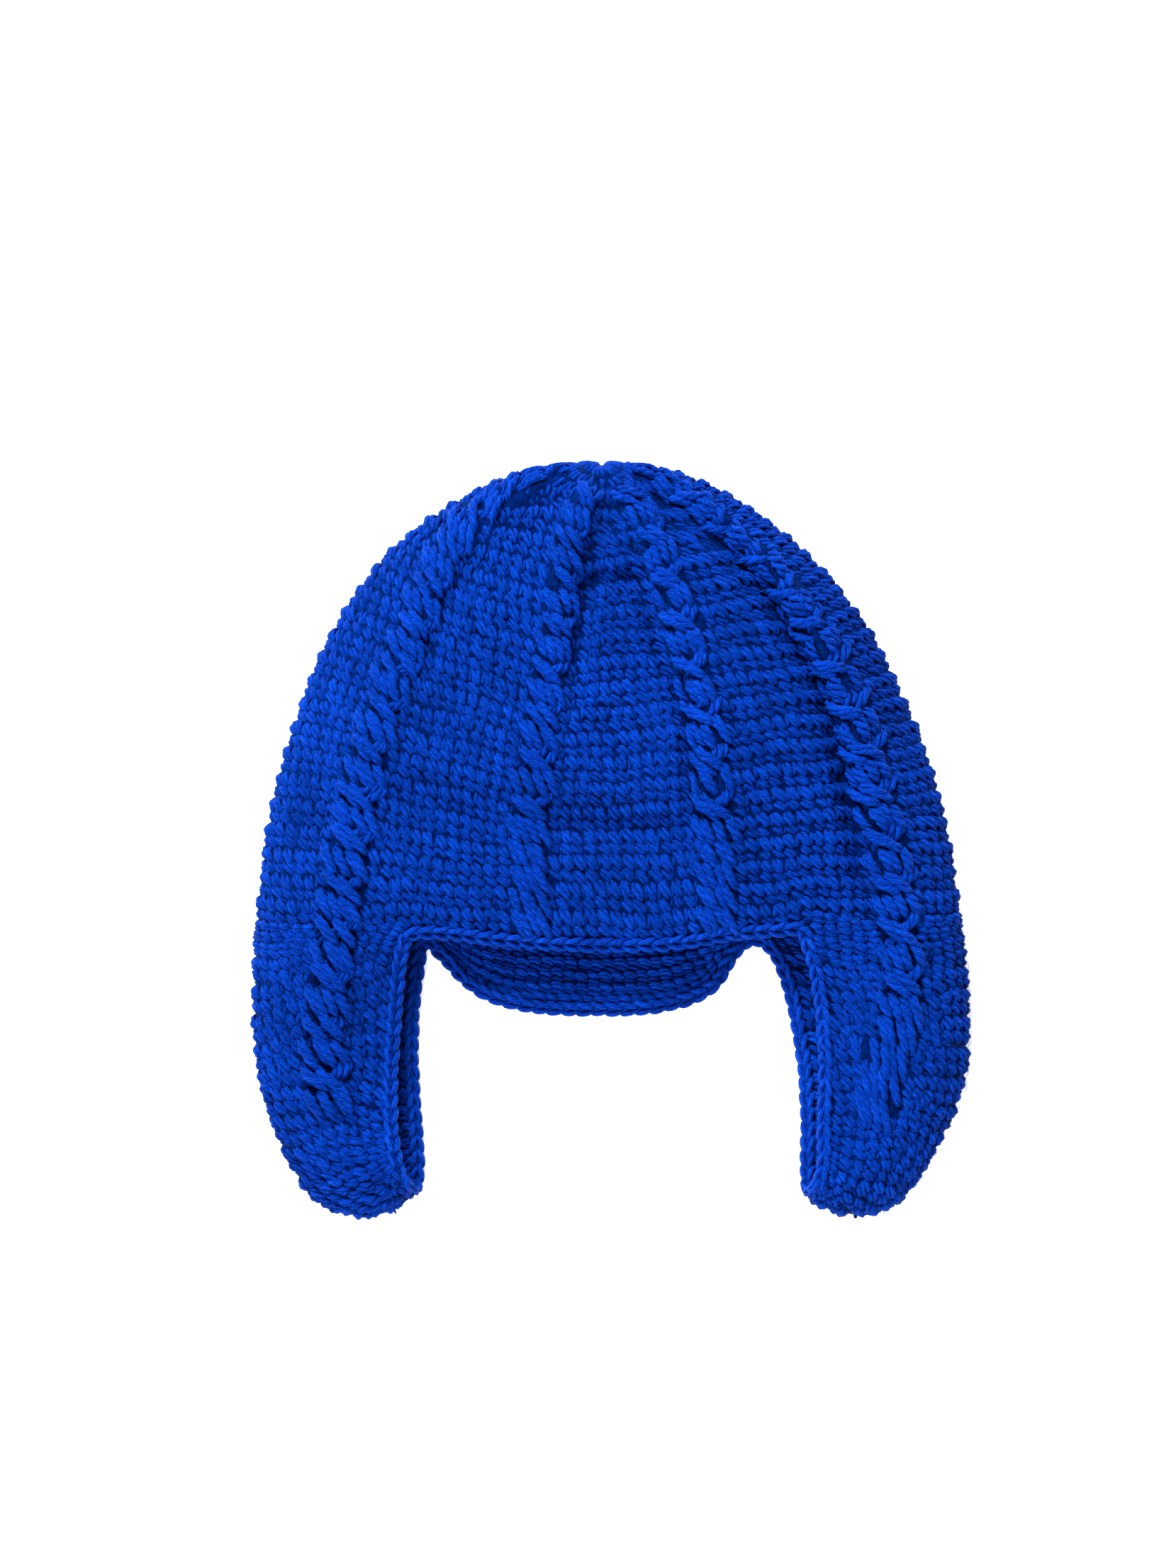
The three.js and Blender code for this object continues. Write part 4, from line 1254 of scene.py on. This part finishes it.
    def build_stitches(self, finish: bpy.types.Material) -> list[bpy.types.Object]:
        """Rows of stitches between the cables, in front, at the sides and behind."""
        pieces = []
        soft = self.stitch
        kinds = (soft, soft, replace(soft, ridge=self.firm_ridge))
        groups = {
            "crown_stitches_front": [(self.panel(Layer.FRONT, k, tilt), kind)
                                     for k, tilt, kind in zip((1, 2, 3), PANEL_TILTS, kinds)],
            "crown_stitches_back": [(self.panel(Layer.BACK, k), self.plain_stitch)
                                    for k in (1, 2, 3)],
            "crown_stitches_left": [(self.side(True), soft)],
            "crown_stitches_right": [(self.side(False), soft)],
        }
        for number, (name, patches) in enumerate(groups.items()):
            guide = YarnGuide(11 + number)
            count = sum(stitch.cover(guide, patch) for patch, stitch in patches)
            LOG.info("%s: %d stitches", name, count)
            guide.runs = [(self.form.tuck(points, 1.0), *rest) for points, *rest in guide.runs]
            pieces.append(YarnTree().spin(name, guide, finish))
        return pieces

    def gather(self, guide: YarnGuide, layer: Layer) -> None:
        """Lays the drawn-in strands that run down from the gathered top.

        Args:
            guide: Takes the strands.
            layer: The front or the back wall.
        """
        for ring, (first, last) in enumerate(GATHERS):
            for column in np.linspace(0.15, 4.85, 9 + 5 * ring):
                share = np.linspace(first, last, 7) + guide.rng.uniform(-0.004, 0.004)
                spots = self.form.crown_spots(np.maximum(share, 0.001),
                                              np.full(7, column + guide.rng.normal(0, 0.06)), layer)
                points, normals = self.form.surface(layer, spots)
                lift = GATHER_RISE - 0.2 * ring
                along = unit(np.gradient(points, axis=0))
                side = np.cross(along, normals)
                wind = guide.rng.uniform(0, 2 * math.pi) + np.linspace(0, 2, 7)
                for ply in range(3):
                    angle = wind + 2 * math.pi * ply / 3
                    shift = (side * (np.cos(angle) * 1.2 * np.linspace(0.4, 1, 7))[:, None]
                             + normals * (lift + np.sin(angle) * 0.5)[:, None])
                    guide.add((points + shift)[None], normals[None], 1.0, 0.7)

    def build_cables(self, finish: bpy.types.Material) -> list[bpy.types.Object]:
        """The cables, four in front that reach into the flaps and four behind."""
        pieces = []
        for layer, seed, twist, height in ((Layer.FRONT, 31, self.twist, 1.0),
                                           (Layer.BACK, 32, self.plain_twist, self.back_relief)):
            guide = YarnGuide(seed)
            for name, crossed in CROSSED_ABOVE.items():
                ribbon = self.ribbon(layer, name)
                twist.lay(guide, ribbon, PANEL_START, ribbon.length + 1, crossed, height)
            self.gather(guide, layer)
            guide.runs = [(self.form.tuck(points, 0.4), *rest) for points, *rest in guide.runs]
            pieces.append(YarnTree().spin(f"crown_cables_{layer.value}", guide, finish))
        return pieces

    def build(self, ground: bpy.types.Material, yarn: bpy.types.Material) -> None:
        """Makes the crown and lets it stand for its solid."""
        shell = self.join(self.build_ground(ground), "crown")
        yarns = [self.join(piece, "crown")
                 for piece in (*self.build_stitches(yarn), *self.build_cables(yarn))]


@dataclass
class EarFlap(Piece):
    """An ear flap: fabric folded round its outer edge, open along a slit on the inner side."""

    form: HatForm
    stitch: Crochet
    name: str
    rows: list
    left: bool
    inside_stitch: Crochet
    reach: float = 2.2
    inside_width: float = 22.0

    def grid(self, count: int) -> tuple[Array, Array]:
        """Outer surface points and normals, left to right as seen from outside."""
        stations = np.linspace(0, len(self.rows) - 1, count)
        ends = [self.form.flap_column(self.rows, k, stations) for k in range(3)]
        shift = SEAM_GAP * (1 - smoothstep(0, 1, stations))
        part = (np.linspace(1, 0, 44)**2)[:, None]
        points, normals = [], []
        for j in range(count):
            drop = np.array([0, shift[j]])
            span = [ends[k][j] - ends[1][j] for k in (0, 2)]
            front, back = (ends[1][j] + way * (1 + self.reach / np.linalg.norm(way)) * share - drop
                           for way, share in zip(span, (part[::-1], part)))
            lower = self.form.surface(Layer.BACK, back)
            upper = self.form.surface(Layer.FRONT, front[1:])
            line = np.concatenate([lower[0], upper[0]])
            tilt = np.concatenate([lower[1], upper[1]])
            points.append(line if self.left else line[::-1])
            normals.append(tilt if self.left else tilt[::-1])
        return np.array(points), np.array(normals)

    def build(self, ground: bpy.types.Material, yarn: bpy.types.Material) -> None:
        """Makes the flap and lets it stand for its solid."""
        points, normals = self.grid(90)
        shell = self.backing(self.name, points, normals, ground)
        cable = self.form.cables["a" if self.left else "d"]

        def clear_of_cable(spots: Array) -> Array:
            """Which stitches the cable doesn't cover."""
            distance, along, _ = cable.nearest(spots[:, :2])
            covered = (distance < CABLE_COVER) & (along < cable.total - 4)
            return ~(covered & (spots[:, 2] > FOLD_LINE))

        guide = YarnGuide(51 if self.left else 52)
        count = self.stitch.cover(guide, Patch(points, 120), clear_of_cable)
        guide.runs = [(self.form.tuck(run, 1.0), *rest) for run, *rest in guide.runs]
        inside = points - normals * WALL
        half = inside[:, :44] if self.left else inside[:, -44:]
        strip = Patch(half[:, ::-1], 60)
        width = self.inside_width / strip.widths.mean()
        strip = Patch(strip.points[:, int(60 * (1 - width)):] if self.left
                      else strip.points[:, :int(60 * width)], 40)
        count += self.inside_stitch.cover(guide, strip)
        LOG.info("%s: %d stitches", self.name, count)
        stitches = self.join(YarnTree().spin(f"{self.name}_stitches", guide, yarn), self.name)


@dataclass
class NapeFlap(Piece):
    """The short flap at the nape, which shows its inside in the opening."""

    form: HatForm
    stitch: Crochet
    inside_stitch: Crochet
    reach: float = 3.0

    def grid(self) -> tuple[Array, Array]:
        """Outer surface points and normals, left to right on the page."""
        table = np.array(NAPE, float)
        index = np.arange(len(NAPE))
        at = np.linspace(0, len(NAPE) - 1, 90)
        seam = curve(index, table[:, 0], at)[:, 0]
        edge = curve(index, table[:, 1:], at)
        top = np.stack([seam, self.form.rim(Layer.BACK, seam) - SEAM_GAP], 1)
        points, normals = [], []
        way = edge - top
        way = way + unit(way) * self.reach
        for share in np.linspace(0, 1, 24):
            line, tilt = self.form.surface(Layer.BACK, top + way * share)
            points.append(line)
            normals.append(tilt)
        return np.array(points), np.array(normals)

    def build(self, ground: bpy.types.Material, yarn: bpy.types.Material) -> None:
        """Makes the flap and lets it stand for its solid."""
        points, normals = self.grid()
        shell = self.backing("nape_flap", points[:, ::-1], normals[:, ::-1], ground)
        guide = YarnGuide(61)
        count = self.stitch.cover(guide, Patch(points[:, ::-1]))
        count += self.inside_stitch.cover(guide, Patch(points - normals * WALL))
        LOG.info("nape_flap: %d stitches", count)
        stitches = self.join(YarnTree().spin("nape_flap_stitches", guide, yarn), "nape_flap")


@dataclass
class Edging(Piece):
    """The plaited edging: a core with two chains of loops, one on each face of the fabric."""

    form: HatForm
    core: float = 2.1
    # The core's colour is darkened as painted shade where it lies under the loops, and the loops'
    # colour is lightened as painted light on their raised tops.
    core_painted_shade: float = -2.0
    arm: float = 1.12
    arm_painted_light: float = 0.8
    uneven: float = 0.1
    loop: float = 5.5
    core_piece: float = 40.0
    arm_path: tuple[tuple[float, float, float], ...] = (
        (-0.1, 0.05, 0.4), (0.22, 0.9, 1.75), (0.68, 1.85, 2.0), (1.08, 2.05, 1.2),
        (1.36, 1.1, 0.1))

    def line(self) -> tuple[Array, Array]:
        """Centre line and the fabric's outward side along it, closed and even."""
        points, sides = [], []
        for lie, path in EDGING_RING:
            spots = np.array(path, float)
            if lie is Lie.FRONT:
                base, normal = self.form.surface(Layer.FRONT, spots)
                points.append(base - normal * WALL / 2)
                sides.append(np.tile([0.0, 0.0, 1.0], (len(spots), 1)))
            elif lie is Lie.BACK:
                points.append(np.column_stack([spots, np.full(len(spots), EDGING_REST)]))
                sides.append(np.tile([0.0, 0.0, -1.0], (len(spots), 1)))
            else:
                points.append(spots)
                sides.append(np.tile([0.0, -1.0, 0.0], (len(spots), 1)))
        line, side = np.concatenate(points), np.concatenate(sides)
        line = np.concatenate([line[-3:], line, line[:4]])
        side = np.concatenate([side[-3:], side, side[:4]])
        run = run_lengths(line)
        total = run[-4] - run[3]
        at = np.linspace(run[3], run[3] + total, int(round(total)) + 1)
        return curve(run, line, at), unit(curve(run, side, at))

    def build(self, yarn: bpy.types.Material) -> None:
        """Makes the edging and lets it stand for its solid."""
        line, side = self.line()
        tangent = unit(np.gradient(line, axis=0))
        side = unit(side - tangent * (side * tangent).sum(1, keepdims=True))
        out = np.cross(tangent, side)
        run = run_lengths(line)
        guide = YarnGuide(71)
        pieces = max(2, int(run[-1] // self.core_piece))
        for k in range(pieces):
            at = np.linspace(run[-1] * k / pieces, run[-1] * (k + 1) / pieces, 14)
            guide.add(between(at, run, line)[None], between(at, run, side)[None], self.core, 1.0,
                      self.core_painted_shade)
        count = int(round(run[-1] / self.loop))
        pitch = run[-1] / count
        smooth = curve(np.arange(5), self.arm_path, np.linspace(0, 4, 8))
        for face in (1, -1):
            for arm in (1, -1):
                for k in range(count):
                    at = (run[-1] + (k + smooth[:, 0]) * pitch) % run[-1]
                    centre, up, away = (between(at, run, grid) for grid in (line, side, out))
                    rise = unit(up * face * 0.85 + away * 0.5)
                    wide = np.cross(unit(np.gradient(centre, axis=0)), rise)
                    points = centre + wide * arm * smooth[:, 1:2] + rise * smooth[:, 2:3]
                    points += guide.rng.normal(0, self.uneven, (1, 3))
                    guide.add(points[None], rise[None], self.arm, 0.7, self.arm_painted_light)
        thing = YarnTree().spin("edging_plait", guide, yarn)
        self.join(thing, "edging", "edging_yarn")


@dataclass(frozen=True)
class Lamp:
    """A square soft light: its place in metres, its side in metres and its power in watts."""

    name: str
    place: tuple[float, float, float]
    size: float
    watts: float

    def build(self, target: Vector) -> None:
        """Sets the light up so that it faces the target."""
        data = bpy.data.lights.new(self.name, "AREA")
        data.size = self.size
        data.energy = self.watts
        thing = put(self.name, data)
        thing.location = self.place
        thing.rotation_euler = (target - Vector(self.place)).to_track_quat("-Z", "Y").to_euler()


@dataclass(frozen=True)
class Studio:
    """A pale floor, soft light from above, and the camera straight over the hat."""

    target: tuple[float, float] = (-0.0086, 0.0212)
    distance: float = 1.403
    lens: float = 85.0
    sensor: float = 36.0
    floor_half: float = 4.0
    floor_level: float = -0.0004
    floor_glow: float = 0.5
    daylight: float = 0.42
    lamps: tuple[Lamp, ...] = (Lamp("key light", (-0.4, 1.4, 1.1), 0.8, 80),
                               Lamp("fill light", (-0.65, -1.25, 0.95), 1.4, 43))

    def floor(self) -> None:
        """A plain pale floor."""
        mesh = bpy.data.meshes.new("floor")
        half, level = self.floor_half, self.floor_level
        corners = ((-half, -half), (half, -half), (half, half), (-half, half))
        mesh.from_pydata([(x, y, level) for x, y in corners], [], [(0, 1, 2, 3)])
        made, tree, place = Tree.material("pale floor")
        tree.surface({
            "Base Color": (0.92, 0.92, 0.92, 1), "Roughness": tree.noise(place, 40.0) * 0.1 + 0.8,
            "Emission Color": (1.0, 1.0, 1.0, 1.0), "Emission Strength": self.floor_glow})
        mesh.materials.append(made)
        thing = put("floor", mesh)

    def build(self) -> None:
        """Sets up floor, lights, world and camera."""
        self.floor()
        for lamp in self.lamps:
            lamp.build(Vector((*self.target, 0)))
        world = bpy.data.worlds.new("studio")
        world.use_nodes = True
        background = world.node_tree.nodes["Background"]
        background.inputs[0].default_value = (1, 1, 1, 1)
        background.inputs[1].default_value = self.daylight
        scene = bpy.context.scene
        scene.world = world
        scene.view_settings.view_transform = "Standard"
        data = bpy.data.cameras.new("camera")
        data.lens = self.lens
        data.sensor_width = self.sensor
        data.clip_end = 20
        camera = put("camera", data)
        centre = (CAD_BOX[0] + CAD_BOX[1]) / 2
        camera.location = (centre[0] + self.target[0], centre[1] + self.target[1], self.distance)
        scene.camera = camera


def main() -> None:
    """Builds the hat piece by piece, then the studio round it."""
    logging.basicConfig(level=logging.INFO, format="%(message)s")
    form = HatForm()
    stitch = Crochet()
    yarn = YarnFinish("blue yarn", (0.0003, 0.0065, 0.115), (0.0007, 0.02, 0.28),
                      (0.0022, 0.064, 0.64)).material()
    edge = YarnFinish("edging yarn", (0.0003, 0.0065, 0.115), (0.0008, 0.021, 0.29),
                      (0.0024, 0.066, 0.65)).material()
    # The ground's near-black colours are painted shade for the pits between the stitches.
    ground = GroundFinish("ground fabric", (0.0001, 0.0022, 0.042),
                          (0.0003, 0.009, 0.13)).material()
    plain = Crochet(strands=(
        Strand(((-0.32, -0.03, -0.9), (-0.27, 0.08, 0.3), (-0.08, 0.3, 0.75), (0.14, 0.48, 0.55),
                (0.26, 0.62, -0.6)), 1.9),
        Strand(((-0.48, 0.7, -0.6), (-0.3, 0.6, 0.25), (0.0, 0.62, 0.6), (0.27, 0.78, 0.4),
                (0.36, 0.98, -0.6)), 1.5),
    ))
    # The inside stitches' first strand is lightened by 2.4 as painted light that offsets the shade
    # under the front layer's brim; the second, lower strand is darkened by 0.6 as painted shade.
    inside = Crochet(pitch=4.6, row=5.1, ridge=0.2, drift=0.3, strands=(
        Strand(((-0.5, 0.34, -0.6), (-0.25, 0.24, 0.4), (0.1, 0.28, 0.6), (0.38, 0.46, 0.3),
                (0.54, 0.72, -0.6)), 0.84, 3, 0.9, 0.35, 1.6, 0.6, 2.4),
        Strand(((-0.4, 0.8, -0.6), (-0.1, 0.76, 0.1), (0.2, 0.82, 0.1), (0.5, 1.0, -0.6)), 0.9,
               shade=-0.6),
    ))
    Crown(form, stitch, CableTwist(), plain, CableTwist(radius=2.0, plies=1)).build(ground, yarn)
    loose = replace(stitch, row=8.8, ridge=0.1, drift=1.9)
    EarFlap(form, loose, "ear_flap_left", LEFT_FLAP, True, inside).build(ground, yarn)
    EarFlap(form, loose, "ear_flap_right", RIGHT_FLAP, False, inside).build(ground, yarn)
    NapeFlap(form, stitch, inside).build(ground, yarn)
    Edging(form).build(edge)
    Studio().build()


if __name__ == "__main__":
    main()
